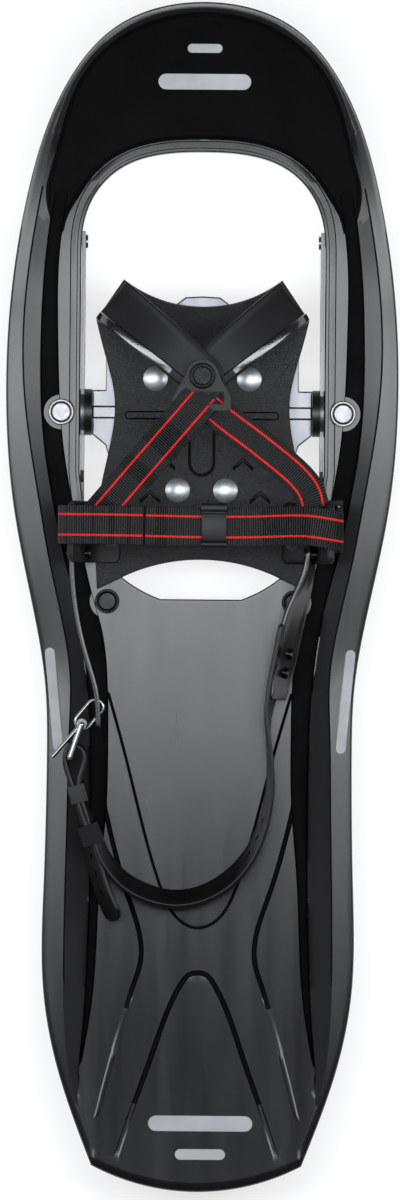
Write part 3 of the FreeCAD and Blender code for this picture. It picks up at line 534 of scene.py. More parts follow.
def rim_material():
    """Deck plastic of the inner rim: glossy beside the toe, dull to the rear."""
    material = finish_of("rim_plastic", grey(0.0015), grey(0.003), (0.0, 0.06), 900, 2.2e-5,
                         specular=0.34, stretch=(1, 0.08, 1))
    tree = material.node_tree
    roughness = tree.nodes["Principled BSDF"].inputs["Roughness"]
    place = add(tree, "ShaderNodeTexCoord")
    parts = add(tree, "ShaderNodeSeparateXYZ")
    total = add(tree, "ShaderNodeMath", operation="ADD")
    tree.links.new(place.outputs["Object"], parts.inputs["Vector"])
    rear, front = -0.02, 0.11
    dullness = mapped(tree, parts.outputs["Y"], rear, front, 0.85, 0.22)
    tree.links.new(dullness, total.inputs[0])
    tree.links.new(roughness.links[0].from_socket, total.inputs[1])
    tree.links.new(total.outputs["Value"], roughness)
    return material


rim_black = rim_material()


def yarn_material(name, dark, light, sheen):
    """Woven yarn: uneven colour, fine noise as bump and a soft sheen."""
    material, tree, shader = node_material(name)
    tree.links.new(tinted(tree, noise(tree, 1800, 3.0), dark, light), shader.inputs["Base Color"])
    put(shader, {"Roughness": 0.7, "Specular IOR Level": 0.08, "Sheen Weight": sheen, "Sheen Roughness": 0.4})
    bump = add(tree, "ShaderNodeBump", Strength=1.0, Distance=1.2e-4)
    tree.links.new(noise(tree, 2600, 2.0), bump.inputs["Height"])
    tree.links.new(bump.outputs["Normal"], shader.inputs["Normal"])
    return material


yarn_black = yarn_material("webbing_yarn", (0.012, 0.012, 0.012), (0.034, 0.034, 0.035), 0.005)
# Painted shade: near-black yarn for the valleys between ribs and for the sunk seam
yarn_painted_shade = yarn_material("webbing_painted_shade", (0.0006, 0.0006, 0.0006), (0.0015, 0.0015, 0.0015), 0.0)
yarn_red = yarn_material("webbing_red", (0.42, 0.006, 0.008), (0.6, 0.02, 0.02), 0.01)

NODE_FINISH = {
    rail_finish: ("traction_rail_left", "traction_rail_right"),
    dome_silver: ("footbed_rivets",),
    dark_steel: ("wing_rivets",),
    clip_steel: ("heel_strap_rivets", "heel_pivot_rivets", "heel_clip"),
    pin_finish: ("rail_nose_pins", "pivot_axle", "toe_nut", "cam_pin"),
    bush_black: ("pivot_bush_left", "pivot_bush_right"),
    loop_grey: ("strap_loop",),
    moulded_black: ("cam_buckle", "cam_lever", "heel_keeper"),
    wire_finish: ("heel_ring", "heel_buckle", "heel_prong"),
}


def dress_nodes():
    """Gives the nodes that keep their CAD shape their finish."""
    for material, names in NODE_FINISH.items():
        for name in names:
            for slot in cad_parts[name].material_slots:
                slot.material = material


# ---- deck
DECK_TOP = 36.0
SKIN = 3.0
SKIRT = 16.0
UNDERSIDE = 33.4
HALF_LENGTH = 307.5
TOE_START, TOE_RISE = 150.0, 46.0
TAIL_START, TAIL_RISE = 230.0, 1.5
CHANNEL_DEPTH = 5.5
DISH_DEPTH = 2.6
FLANGE_SLOPE = 0.32
RIM_SLOPE = 0.262
GROOVE_DEPTH = 1.7
LIP_WIDTH = 12
CHANNEL_REAR, RIM_REAR = -244, -259
CREASE_CORNER = (53.0, -290.5)
AXLE_Y = 96.1
PIVOT_RIVET, REAR_RIVET = (73, AXLE_Y), (48.4, -1.8)
PLAIN, PALE, PAINTED_SHADE, RIM = range(4)
DECK_MATERIALS = [deck_black, deck_pale, painted_shade_finish, rim_black]

EDGE = [
    (0, 307.5), (46.4, 294.5), (72.5, 263.5), (90.7, 211.6), (99.2, 159.8), (101.5, 97.6), (97.1, 45.8),
    (86.8, -6), (80, -47.4), (79, -80), (80.2, -150), (80, -203), (72.3, -244), (54.4, -294),
]
CREASE = [
    (0, 304.3), (44.8, 291.6), (66.6, 268.6), (81.6, 224), (90.3, 174.8), (93.5, 128.7), (92.3, 102.8),
    (84.6, 51), (79, 19.9), (71.1, -16.3), (67.6, -40), (67.9, -71), (68.5, -104.4), (69.8, -182.6),
    (68.7, -225), (66, -247), (52.5, -286),
]
OPENING_FRONT = [(0, 231), (24, 229.3), (42, 223), (53, 213.5), (59.3, 203), (62.4, 192), (63.3, 180)]
OPENING_REAR = [(63.3, 65), (60.5, 45), (53.5, 24), (40.8, 10.6), (30, 3.5), (21, -0.5)]
CHANNEL_OUTER = [
    (76.4, 215), (79.4, 197), (83.9, 144.3), (84.2, 128.7), (81.7, 77), (77.4, 51), (70.9, 20), (64, -7),
    (58, -51.5), (57, -71), (56.7, -146), (58.7, -209), (61.5, -244),
]
CHANNEL_INNER = [
    (59.5, -240), (54.5, -209), (50.9, -146), (47.6, -104), (47.2, -73), (47.8, -42), (51.5, -14), (55.6, 0),
    (60.5, 20), (67, 51), (71.4, 77), (74.8, 136.5), (72.8, 192), (69.5, 209),
]
DISH_OUTER = [(0, 302.4), (44, 289.6), (65, 267), (78.6, 224), (81.8, 208), (79.6, 196)]
DISH_INNER = [(0, 237.3), (25, 235.5), (45, 228.5), (57.6, 217.8), (65.2, 206.6), (70.4, 197), (72.6, 189)]
V_GROOVE = [(0, -170.8), (8, -168), (15.3, -159.5), (19.8, -149), (37.7, -84), (47.2, -50)]
STEP_LINE = [
    (48.7, -109), (37.2, -152), (29.9, -176), (29.4, -187), (33, -200), (39.5, -222), (45.8, -245),
    (51.5, -268),
]
GROOVE_STEP = 2.5
APEX_GROOVE = [(0, -194), (4.5, -195), (8, -199), (22.5, -234), (32, -261), (41, -288)]


def base_level(y):
    """Height of the plain deck: level, with the toe and the tail lifted along arcs."""
    level = np.full(len(y), DECK_TOP)
    for start, rise, way in ((TOE_START, TOE_RISE, 1), (-TAIL_START, TAIL_RISE, -1)):
        full = HALF_LENGTH - abs(start)
        radius = (full * full + rise * rise) / (2 * rise)
        run = np.clip((y - start) * way, 0, None)
        level = level + radius - np.sqrt(radius * radius - run * run)
    return level


def deck_features():
    """Outlines and grooves of the deck."""
    tail = [CREASE[-1], CREASE_CORNER]
    crease = joined(
        smooth(whole(CREASE)), divided(tail),
        arc(CREASE_CORNER, (0, 4.2 - HALF_LENGTH), mirror(tail)[0]), divided(mirror(tail)),
    )
    flank = [OPENING_FRONT[-1], OPENING_REAR[0]]
    opening = joined(
        smooth(whole(OPENING_FRONT)), divided(flank, 4), smooth(OPENING_REAR),
        divided([OPENING_REAR[-1], mirror(OPENING_REAR)[0]], 4),
        smooth(mirror(OPENING_REAR)), divided(mirror(flank), 4),
    )
    channel = joined(
        smooth(CHANNEL_OUTER), divided([CHANNEL_OUTER[-1], CHANNEL_INNER[0]], 2),
        smooth(CHANNEL_INNER), divided([CHANNEL_INNER[-1], CHANNEL_OUTER[0]], 2),
    )
    dish_sides = smooth(whole(DISH_OUTER)), smooth(whole(DISH_INNER))
    step_right = smooth(STEP_LINE, GROOVE_STEP)
    marks = [bar_outline(0, 267, 48, 8), bar_outline(0, 284, 18, 4.5)]
    marks += [bar_outline(2, -272, 54, 8), bar_outline(2, -288, 26, 5.5)]
    marks += [bar_outline(side * 75.6, -53, 54, 5, 90 - side * 5.5) for side in (-1, 1)]
    return SimpleNamespace(
        edge=joined(smooth(whole(EDGE)), arc(EDGE[-1], (0, -HALF_LENGTH), mirror(EDGE)[0])),
        crease=crease,
        opening=opening,
        channels=[channel, np.array(mirror(channel))],
        dish=np.concatenate([dish_sides[0], dish_sides[1][::-1]]),
        v_groove=smooth(whole(V_GROOVE), GROOVE_STEP),
        apex=smooth(whole(APEX_GROOVE), GROOVE_STEP),
        steps=[step_right, step_right * (-1, 1)],
        marks=marks,
    )


def deck_tiling(deck):
    """Plan and faces of the deck, with a line wherever its height or its colour changes."""
    loops = [deck.dish, aside(deck.dish, 2.4), aside(deck.dish, -0.5)]
    loops += [deck.crease, aside(deck.crease, 0.9)]
    loops += [aside(deck.edge, d) for d in (0.6, 1.3, SKIN)] + [aside(deck.crease, 5.0)]
    loops += [aside(deck.opening, -d) for d in (0.6, 1.8, 2.2, SKIN, 5.2, 5.7, 6.3, 8.6)]
    for channel in deck.channels:
        loops += [channel] + [aside(channel, d) for d in (0.35, 0.8, -0.5, -2.6)]
    lines = []
    for path, half in ((deck.v_groove, 0.8), (deck.apex, 1.4), (deck.steps[0], 1.3), (deck.steps[1], 1.3)):
        across = (-half - 0.6, -half, -half * 0.45, half * 0.45, half, half + 0.6)
        lines += [aside(path, d, closed=False) for d in across]
    lines += [divided([(side * 57, CHANNEL_REAR), (side * 74, CHANNEL_REAR)]) for side in (-1, 1)]
    lines += [divided([(x, CHANNEL_REAR), (x, RIM_REAR)]) for x in (-60.7, -61.5, 60.7, 61.5)]
    return tile(deck.edge, [deck.opening], loops + deck.marks, lines, 6.0)


def channel_side(y):
    """How far from the middle line the outer side of a channel is."""
    return np.interp(y, [p[1] for p in CHANNEL_OUTER[::-1]], [p[0] for p in CHANNEL_OUTER[::-1]])


def groove_heights(plan, deck):
    """Depth of the panel's grooves, and the ridges that the two steps become to the rear."""
    y = plan[:, 1]
    cut = GROOVE_DEPTH * beside(plan, deck.v_groove, 0.8, 0.36)
    fade = ramp(y, -292, -215)
    cut = np.maximum(cut, (0.3 + 1.4 * fade) * beside(plan, deck.apex, 1.4, 0.63))
    ridge = np.zeros(len(plan))
    for path in deck.steps:
        near = beside(plan, path, 1.3, 0.58)
        cut = np.maximum(cut, GROOVE_DEPTH * ramp(y, -212, -196) * near)
        ridge = np.maximum(ridge, near * ramp(-y, 214, 240))
    return 0.4 * ridge - cut


def deck_heights(plan, deck):
    """Top of the deck, its underside, and the lower end of its skirt."""
    x, y = plan[:, 0], plan[:, 1]
    from_edge = distance(plan, deck.edge)
    from_crease = distance(plan, deck.crease)
    from_opening = distance(plan, deck.opening)
    in_crease = inside(plan, deck.crease)
    by_opening = from_opening < LIP_WIDTH

    nose = ramp(y, 192, 230)
    dish = -DISH_DEPTH * ramp(distance(plan, deck.dish), 0, 2.4) * inside(plan, deck.dish) * ramp(y, 190, 200)
    lip = np.interp(from_opening, [0, 0.6, 6.3], [-0.5, 0, -0.6]) * by_opening
    band = np.interp(from_opening, [0, 0.6, 1.8, 2.2, 3.0, 5.2, 5.7, 9.0],
                     [-0.5, 0, 0, -0.35, -0.35, -0.8, -0.2, -0.2])
    outboard = (np.abs(x) > channel_side(y) - 0.2) & in_crease
    rim = -RIM_SLOPE * np.minimum(from_crease, 12) * outboard * ramp(y, -280, -246)
    along = ramp(y, 20, 75) * (1 - nose)
    inner = rim + nose * lip + along * band * by_opening
    inner += (1 - np.maximum(along, nose)) * np.interp(from_opening, [0, 0.6, 1.3], [-0.6, -0.12, 0])
    height = np.where(in_crease, np.minimum(inner, dish), -FLANGE_SLOPE * from_crease)
    height -= np.interp(from_edge, [0, 0.6, 1.3], [1.0, 0.25, 0])

    floor = np.zeros(len(plan))
    under = np.full(len(plan), -SKIN)
    for channel in deck.channels:
        within = inside(plan, channel)
        depth = distance(plan, channel)
        floor = np.maximum(floor, np.where(within, ramp(depth, 0, 0.8), 0))
        under = np.where(within | (depth < 2.7), -SKIN - CHANNEL_DEPTH, under)
    shallow = 1 - ramp(y, 196, 212) * (1 - DISH_DEPTH / CHANNEL_DEPTH)
    height = np.where(floor > 0, np.minimum(height, -CHANNEL_DEPTH * shallow * floor), height)
    height += groove_heights(plan, deck) * (1 - floor)

    base = base_level(y)
    return base + height, base + under + np.minimum(height * (1 - floor), 0), base - SKIRT


def deck_kinds(middles, deck):
    """Material of each face on the top; painted shade goes into the channels, the nose dish, the grooves, two
    lines by the opening and a line along the crease.
    """
    y = middles[:, 1]
    in_crease = inside(middles, deck.crease)
    from_opening = distance(middles, deck.opening)
    # Mask of painted shade: faces in the grooves, along the crease, in the opening's two grooves, in the dish
    # and in the channels
    black = distance(middles, deck.v_groove, closed=False) < 0.75
    black |= (distance(middles, deck.crease) < 0.9) & (y < 212) & (y > -200)
    black |= (np.abs(from_opening - 2.0) < 0.2) & (y > 60)
    black |= (np.abs(from_opening - 5.45) < 0.25) & (y > 60)
    black |= (distance(middles, deck.apex, closed=False) < 1.2) & (y > -262)
    for path in deck.steps:
        black |= (distance(middles, path, closed=False) < 1.1) & (y > -213)
    for area in (deck.dish, *deck.channels):
        black |= inside(middles, area)
    on_rim = (np.abs(middles[:, 0]) > channel_side(y)) & in_crease & (y < 196) & (y > -262)
    kinds = np.full(len(middles), PLAIN)
    kinds[on_rim] = RIM
    kinds[black & in_crease] = PAINTED_SHADE
    for mark in deck.marks:
        kinds[inside(middles, mark)] = PALE
    return kinds


def deck_underside():
    """Toothed fins and cross bars under the tail, and the bosses of the deck's rivets."""
    fin_x, fin_half, fin_start, fin_end = 44.5, 1.5, -262, -52
    parts = []
    for side in (-1, 1):
        teeth = saw(fin_start, fin_end, 7, 12, 6) + [(-40, 33.2), (fin_start, 33.2)]
        parts.append(prism(teeth, side * fin_x - fin_half, side * fin_x + fin_half, "X"))
        for x, y in (PIVOT_RIVET, REAR_RIVET):
            parts.append(prism(ring(side * x, y, 9, 32), 19.0, UNDERSIDE))
    bar = [(-44, 20), (44, 20), (44, UNDERSIDE), (-44, UNDERSIDE)]
    return parts + [prism(bar, y, y + 3, "Y") for y in (-215, -150, -85)]


def make_deck():
    """Shell of the deck with its fins, bars and bosses."""
    deck = deck_features()
    plan, faces = deck_tiling(deck)
    top, thin, wall = deck_heights(plan, deck)
    middles = plan[faces].mean(1)
    on_edge = ~inside(middles, aside(deck.edge, SKIN))
    on_lip = inside(middles, aside(deck.opening, -SKIN))
    groups = np.where(on_edge, 1, np.where(on_lip, 2, 0))
    shell = closed_sheet(plan, faces, top, {0: thin, 1: wall, 2: wall}, groups)
    verts, made = merged([shell] + deck_underside())
    kinds = list(deck_kinds(middles, deck)) + [PLAIN] * (len(made) - len(faces))
    item = build("deck_shell", verts, made, DECK_MATERIALS, kinds, sharp=24)
    piece(item, "deck", "deck_plastic", "deck")


def saw(start, end, count, root, tip):
    """Lower edge with flat-tipped teeth that reach the ground."""
    pitch = (end - start) / count
    points = []
    for number in range(count):
        first = start + number * pitch
        middle = first + pitch / 2
        points += [(first, root), (middle - tip / 2, 0), (middle + tip / 2, 0)]
    return points + [(end, root)]


# ---- foot bed
BED_BOTTOM = 36.4
BED_TOP = 40.4
BED_SIDE = [(55.2, 144), (51.3, 128.7), (45.3, 103), (48, 77), (52, 58), (54.6, 30), (53.7, 4.4)]
BED_RIVETS = [(-24.3, 113.7), (24.3, 113.7), (-12.4, 56.0), (12.4, 56.0)]
WING_RIVET_Y = (29, 39)
WING_RIVETS = [(side * 47.0, y) for side in (-1, 1) for y in WING_RIVET_Y]
CHEVRONS = [(-26.6, 53.6), (30.4, 53.6), (21.4, 70.7), (-19.0, 70.7)]


def chevron(x, y):
    """Closed outline of an arrowhead pointing to the toe."""
    reach, drop, thick = 5.2, 5.0, 2.3
    corners = [
        (-reach, -drop), (0, 0), (reach, -drop), (reach, -drop - thick), (0, -thick), (-reach, -drop - thick),
    ]
    return np.array([(x + px, y + drop / 2 + py) for px, py in corners])


def make_footbed():
    """Grained foot bed, raised over the axle, with a ridge, a U-shaped groove and four arrowheads."""
    side = smooth(BED_SIDE)
    front, rear = (41, 165), (40.8, 10.6)
    left_rear, left_front = mirror([front, rear])
    shoulder, waist = [front, BED_SIDE[0]], [BED_SIDE[-1], rear]
    outline = joined(
        arc(left_front, (0, 151), front), divided(shoulder), side, divided(waist),
        arc(rear, (0, 20), left_rear), divided(mirror(waist)), mirror(side), divided(mirror(shoulder)),
    )
    holes = [ring(x, y, 2.5) for x, y in BED_RIVETS] + [ring(x, y, 1.8, 16) for x, y in WING_RIVETS]
    groove = np.concatenate([
        divided([(-6.3, 90), (-6.3, 70)]), arc((-6.3, 70), (0, 63.7), (6.3, 70), 2)[1:],
        divided([(6.3, 70), (6.3, 90)])[1:],
    ])
    groove_top, groove_floor = 0.9, 0.35
    ridge = bar_outline(0, 94.6, 80, 4.4)
    ridge_edge, arrow_edge = 0.7, 0.5
    arrows = [chevron(x, y) for x, y in CHEVRONS]
    loops = [aside(outline, 0.5), aside(outline, 1.3), ridge, aside(ridge, -ridge_edge)]
    loops += arrows + [aside(a, arrow_edge) for a in arrows]
    hump_flat, hump_foot = 5.0, 7.5
    lines = [aside(groove, d, closed=False) for d in (-groove_top, -groove_floor, groove_floor, groove_top)]
    hump = (-hump_foot, -hump_flat, hump_flat, hump_foot)
    lines += [divided([(-37, AXLE_Y + d), (37, AXLE_Y + d)]) for d in hump]
    plan, faces = tile(outline, holes, loops, lines, 4.0)

    x, y = plan[:, 0], plan[:, 1]
    height = -np.interp(distance(plan, outline), [0, 0.5, 1.3], [1.1, 0.3, 0])
    height += 1.1 * (1 - ramp(np.abs(y - AXLE_Y), hump_flat, hump_foot)) * (1 - ramp(np.abs(x), 36, 39))
    height += np.where(inside(plan, ridge), 0.9 * ramp(distance(plan, ridge), 0, ridge_edge), 0)
    height -= 0.8 * beside(plan, groove, groove_top, groove_floor)
    for arrow in arrows:
        height += np.where(inside(plan, arrow), 1.0 * ramp(distance(plan, arrow), 0, arrow_edge), 0)
    verts, made = closed_sheet(plan, faces, BED_TOP + height, {0: np.full(len(plan), BED_BOTTOM)})
    middles = plan[faces].mean(1)
    # Painted shade: the sloped edges of the ridge and arrowheads and the floor of the U-shaped groove are
    # coloured dark
    black = np.zeros(len(made), int)
    for mark in [ridge] + arrows:
        black[:len(faces)] |= inside(middles, mark) & (distance(middles, mark) < 0.7)
    black[:len(faces)] |= distance(middles, groove, closed=False) < groove_floor
    bed = build("footbed_tread", verts, made, [bed_black, painted_shade_finish], black, sharp=28)
    piece(bed, "binding", "footbed_nylon", "footbed")


# ---- toe harness
SCREW_Y = 114.7
ARM_THICK = 3.0
ARM_NEAR, ARM_FAR, ARM_REACH = 10.9, 13.0, 66.0
ARM_TAB = 42.4
EYE_STATIONS = 24


def make_toe_arm(node, angle, crown, rear):
    """Rubber arm: round eye, arch, fold at the bed's corner and tab.

    The edge to the rear, which is the first one where rear is 1, is rolled wide and glossy.
    """
    profile = [
        (-11, crown), (0, crown), (9, crown), (17, crown - 0.5), (32, crown - 4.5), (48, crown - 13),
        (58, crown - 22), (60, ARM_TAB + 7), (55, ARM_TAB + 1.2), (50, ARM_TAB), (44, ARM_TAB),
    ]
    curve = smooth(profile, 1.0)
    path = np.stack([curve[:, 0], np.zeros(len(curve)), curve[:, 1]], 1)
    sides = np.tile((0.0, 1.0, 0.0), (len(path), 1))

    eye_length = 20

    def half_width(radial, travelled):
        """Half width at a distance from the screw: round the eye, then slowly wider."""
        if radial < 0 and travelled < eye_length:
            return math.sqrt(max(ARM_NEAR ** 2 - radial ** 2, 1.0))
        return ARM_NEAR + (ARM_FAR - ARM_NEAR) * min(max(radial, 0) / ARM_REACH, 1)

    def edge_of(half, lift, glossy):
        """Section of one edge, plain or rolled wide."""
        top = ARM_THICK / 2
        if glossy:
            points = [(0, -0.9), (0.3, 0.2), (0.8, top), (1.8, top + lift * 0.5), (4.2, top + lift),
                      (4.9, top + 0.1)]
        else:
            points = [(0, -0.2), (0.25, top * 0.75 + lift), (1.1, top + lift), (2.1, top * 0.8 + lift * 0.8),
                      (3.0, top), (4.9, top)]
        return [(px - half, pz) for px, pz in points]

    def section(index, travelled):
        half = half_width(curve[index, 0], travelled)
        thick = ARM_THICK / 2
        roll = min(0.9, travelled / 25) if travelled < 80 else 0.3
        lift = roll * min(1.0, half / ARM_NEAR)
        first = edge_of(half, lift, rear > 0)
        second = [(-px, pz) for px, pz in reversed(edge_of(half, lift, rear < 0))]
        lower = [(half - 0.4, -thick + 0.3), (half - 1.2, -thick)]
        lower += [(-px, pz) for px, pz in reversed(lower)]
        return [(-px, pz) for px, pz in first + second + lower]

    verts, faces, columns = sweep(path, sides, section)
    glossy = range(0, 5) if rear > 0 else range(6, 11)
    per_station = len(section(0, 0.0))
    kinds = [int(c in glossy and number // per_station > EYE_STATIONS) for number, c in enumerate(columns)]
    item = build(node + "_skin", verts, faces, [arm_black, arm_gloss], kinds, sharp=38)
    turn = Matrix.Rotation(math.radians(angle), 4, "Z")
    item.data.transform(Matrix.Translation((0, SCREW_Y * MM, 0)) @ turn)
    piece(item, "binding", "arm_rubber", node)


def make_crampon():
    """Pressed plate under the foot bed, raised over the axle between two creases, with its claws."""
    half = [
        (0, 156.5), (9, 156), (17, 149.9), (44, 149.9), (44, 130), (50, 130), (50, 107.6), (56.9, 107.6),
        (56.9, 84.6), (50, 79), (46, 66), (47, 58), (52.5, 57), (52.5, 48), (44, 46), (0, 46),
    ]
    outline = divided(half + [(-x, y) for x, y in reversed(half[:-1])], 3)[:-1]
    tabs = [ring(side * 49.8, 52.5, 1.7, 14) for side in (-1, 1)]
    lines = [divided([(-56.8, AXLE_Y + d), (56.8, AXLE_Y + d)], 3) for d in (-3.3, -2.5, 0, 2.5, 3.3)]
    plan, faces = tile(outline, tabs, [inset(outline, 0.7)], lines, 4.0)
    along = np.abs(plan[:, 1] - AXLE_Y)
    edge = distance(plan, outline)
    top = BED_BOTTOM + 1.7 * (1 - ramp(along, 2.5, 3.3)) - 0.5 * (1 - ramp(edge, 0, 0.7))
    bottom = BED_BOTTOM - 2.5 + np.sqrt(np.clip(3.1 ** 2 - along ** 2, 0, None))
    parts = [closed_sheet(plan, faces, top, {0: np.minimum(bottom, top - 0.8)})]
    level = BED_BOTTOM - 1.0
    front = [(15, level), (44, level), (42, 18), (37, 3), (32, 17), (26, 17), (21, 3), (17, 18)]
    rear = [(14, level), (43, level), (40, 20), (35, 8), (29, 21), (22, 8), (17, 20)]
    flank = [(106, level), (130, level), (127, 19), (120, 5), (112, 19)]
    for side in (-1, 1):
        parts.append(prism([(side * x, z) for x, z in front], 147.4, 149.9, "Y"))
        parts.append(prism([(side * x, z) for x, z in rear], 46, 48.5, "Y"))
        parts.append(prism(flank, side * 48.75 - 1.25, side * 48.75 + 1.25, "X"))
    verts, made = merged(parts)
    item = build("crampon_plate", verts, made, [steel])
    straighten(item)
    piece(item, "binding", "crampon_steel", "crampon")


def make_deck_rivets(name, node, slot_name, place, head, disc, material):
    """Two flat deck rivets: a washer ring, a sunk gap coloured dark as painted shade, and a disc, with shank
    and tail below.
    """
    profile = [
        (4.6, 15), (4.6, 17), (2.9, 17.2), (2.9, 35.8), (head, 35.8), (head, 37.4), (head - 0.5, 38.0),
        (disc + 0.9, 38.0), (disc + 0.55, 37.7), (disc + 0.45, 36.6), (disc + 0.1, 36.6), (disc, 37.8),
        (disc - 0.4, 38.1), (0, 38.15),
    ]
    # Painted shade: the faces of the sunk ring between washer and disc get the dark shade finish
    painted_shade_rows = range(8, 11)
    verts, faces = merged([lathe(profile, side * place[0], place[1]) for side in (-1, 1)])
    caps = [0, 0]
    kinds = [int(row in painted_shade_rows) for row in range(len(profile) - 1) for _ in range(ROUND)] + caps
    item = build(name, verts, faces, [material, painted_shade_finish], kinds * 2, sharp=35)
    piece(item, "deck", slot_name, node)


def make_screw():
    """Toe screw: shank and wide head with a raised ring round a sunk, rough middle."""
    profile = [
        (2.45, 71.8), (2.45, 83.2), (6.6, 83.2), (6.75, 84.2), (6.75, 86.6), (6.3, 87.7),
        (5.7, 88.4), (5.2, 88.3), (4.9, 87.5), (4.4, 87.0), (2.4, 87.2), (0.0, 87.3),
    ]
    verts, faces = lathe(profile, 0, SCREW_Y)
    item = build("toe_screw_head", verts, faces, [screw_finish], sharp=50)
    piece(item, "binding", "screw_black", "toe_screw")


def make_keeper():
    """Slider on the cross band: rounded bar in front, flat plate and thin bar behind."""
    parts = []
    for rear, front, bottom, top, left, right in (
            (44.4, 49.0, 90.6, 95.6, 0.0, 13.2),
            (29.4, 44.0, 93.9, 95.3, 0.4, 12.8),
            (26.2, 29.6, 90.6, 95.2, 0.0, 13.2),
            (28.0, 46.0, 90.4, 91.4, 0.6, 12.6),
            (43.6, 44.8, 94.2, 94.9, 0.6, 12.6)):
        corner = min(1.3, (top - bottom) / 2.2)
        blunt = corner * 0.3
        parts.append(prism([
            (rear + corner, bottom), (front - corner, bottom), (front, bottom + corner),
            (front, top - corner), (front - blunt, top - blunt), (front - corner, top),
            (rear + corner, top), (rear + blunt, top - blunt), (rear, top - corner),
            (rear, bottom + corner),
        ], left, right, "X"))
    verts, faces = merged(parts)
    item = build("band_slider", verts, faces, [keeper_black], sharp=60)
    straighten(item)
    piece(item, "strap_keeper", "moulded_black", "strap_keeper")


def make_wing(node, side):
    """Side plate of the harness: foot, upright and flared top with a round lip and a webbing slot."""
    foot, middle_y, half, thick = 41.92, 34.0, 15.9, 1.5
    curve = smooth([
        (42, foot), (48, foot), (52.5, foot + 0.6), (57.2, foot + 4), (60, foot + 10), (61.3, foot + 17),
        (62.2, foot + 25), (64.2, foot + 35), (67.5, foot + 44),
    ], 1.0)
    path = np.stack([curve[:, 0] * side, np.full(len(curve), middle_y), curve[:, 1]], 1)
    travelled = travel(path)
    length = travelled[-1]
    slot_at = float(np.interp(78.0, curve[:, 1], travelled))
    pivot_at = float(np.interp(PIVOT[2], curve[:, 1], travelled))
    corner, bulge = 4.0, 1.2
    outline = cornered([
        ((0, half - 2), None, (2, half)),
        ((length - corner, half), (length - bulge, half - bulge), (length, half - corner)),
        ((length, corner - half), (length - bulge, bulge - half), (length - corner, -half)),
        ((2, -half), None, (0, 2 - half)),
    ], 2, 1.5)
    slot = np.array([(slot_at + px, py) for px, py in (
        (-2, -10.8), (2, -10.8), (2, -5), (2, 0), (2, 5), (2, 10.8), (-2, 10.8), (-2, 5), (-2, 0), (-2, -5))])
    holes = [slot, ring(pivot_at, PIVOT[1] - middle_y, 2.0, 16)]
    holes += [ring(5.0, y - middle_y, 1.8, 12) for y in WING_RIVET_Y]
    plan, faces = tile(outline, holes, [inset(outline, d) for d in (0.5, 1.4, 3.2)], [], 3.0)
    from_edge = distance(plan, outline)
    upper = thick - np.interp(from_edge, [0, 0.5, 1.4, 3.2], [0.9, 0.1, -0.45, 0.0])
    verts, made = closed_sheet(plan, faces, upper, {0: -thick + 0.5 * (1 - ramp(from_edge, 0, 0.5))})
    verts = sheet_on_path(verts, path, np.tile((0.0, 1.0, 0.0), (len(path), 1)))
    item = build(node + "_skin", verts, made, [arm_black], sharp=35)
    straighten(item)
    piece(item, "binding", "arm_rubber", node)


# ---- webbing
RIB_PITCH = 1.2
RIB_HEIGHT = 0.2
RIB_SHADE = 0.65
SEAM_HALF, SEAM_DEPTH = 0.6, 0.45
WEB_THICK = 1.6
SELVEDGE = 0.9
STRIPE_AT, STRIPE_HALF = 5.3, 0.5


def webbing_columns(width):
    """Places across the webbing, closer where the red stripes begin and end."""
    half = width / 2
    inner = STRIPE_AT - STRIPE_HALF
    outer = STRIPE_AT + STRIPE_HALF
    right = [0, 1.6, 3.2, inner - 0.05, inner, STRIPE_AT, outer, outer + 0.05, 7.6]
    right += [half - 1.0, half - 0.35, half]
    return [-c for c in reversed(right[1:])] + right


def make_webbing(name, path, across, width, nodes, seam=None):
    """Ribbed tape with thin selvedges and two red lines; a sunk seam may cross it at one place. The valleys
    between ribs and the seam are coloured near-black as painted shade.
    """
    columns = webbing_columns(width)
    count = len(columns)
    half = width / 2
    path = smooth(path, RIB_PITCH / 5)

    def wave(travelled):
        return abs(math.cos(math.pi * travelled / RIB_PITCH))

    def sewn(travelled):
        return seam is not None and abs(travelled - seam) < SEAM_HALF

    def section(_, travelled):
        upper = []
        for column in columns:
            inward = min(1.0, (half - abs(column)) / SELVEDGE)
            rib = RIB_HEIGHT * (wave(travelled) * 2 - 1) * inward
            level = WEB_THICK / 2 * (0.35 + 0.65 * inward) + rib - SEAM_DEPTH * sewn(travelled)
            upper.append((column, level))
        lower = [(column, -level) for column, level in reversed(upper)]
        return [(-a, u) for a, u in upper + lower]

    verts, faces, faced = sweep(path, np.array([across] * len(path), float), section)
    red = set()
    for index in range(count - 1):
        middle = (abs(columns[index]) + abs(columns[index + 1])) / 2
        if abs(middle - STRIPE_AT) < STRIPE_HALF:
            red |= {index, 2 * count - 2 - index}
    yarns = yarn_black, yarn_red, yarn_painted_shade
    black_yarn, red_yarn, gap = range(len(yarns))
    # Painted shade: gap is the near-black yarn, given to the seam and the rib valleys; only rib tops keep the
    # plain or red yarn
    kinds = [gap] * len(faces)
    for index, at in enumerate(np.repeat(travel(path)[:-1], 2 * count)):
        if not sewn(at):
            ground = gap if wave(at) < RIB_SHADE else black_yarn
            kinds[index] = red_yarn if faced[index] in red else ground
    item = build(name, verts, faces, yarns, kinds, sharp=80)
    straighten(item)
    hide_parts(*nodes)
    return item


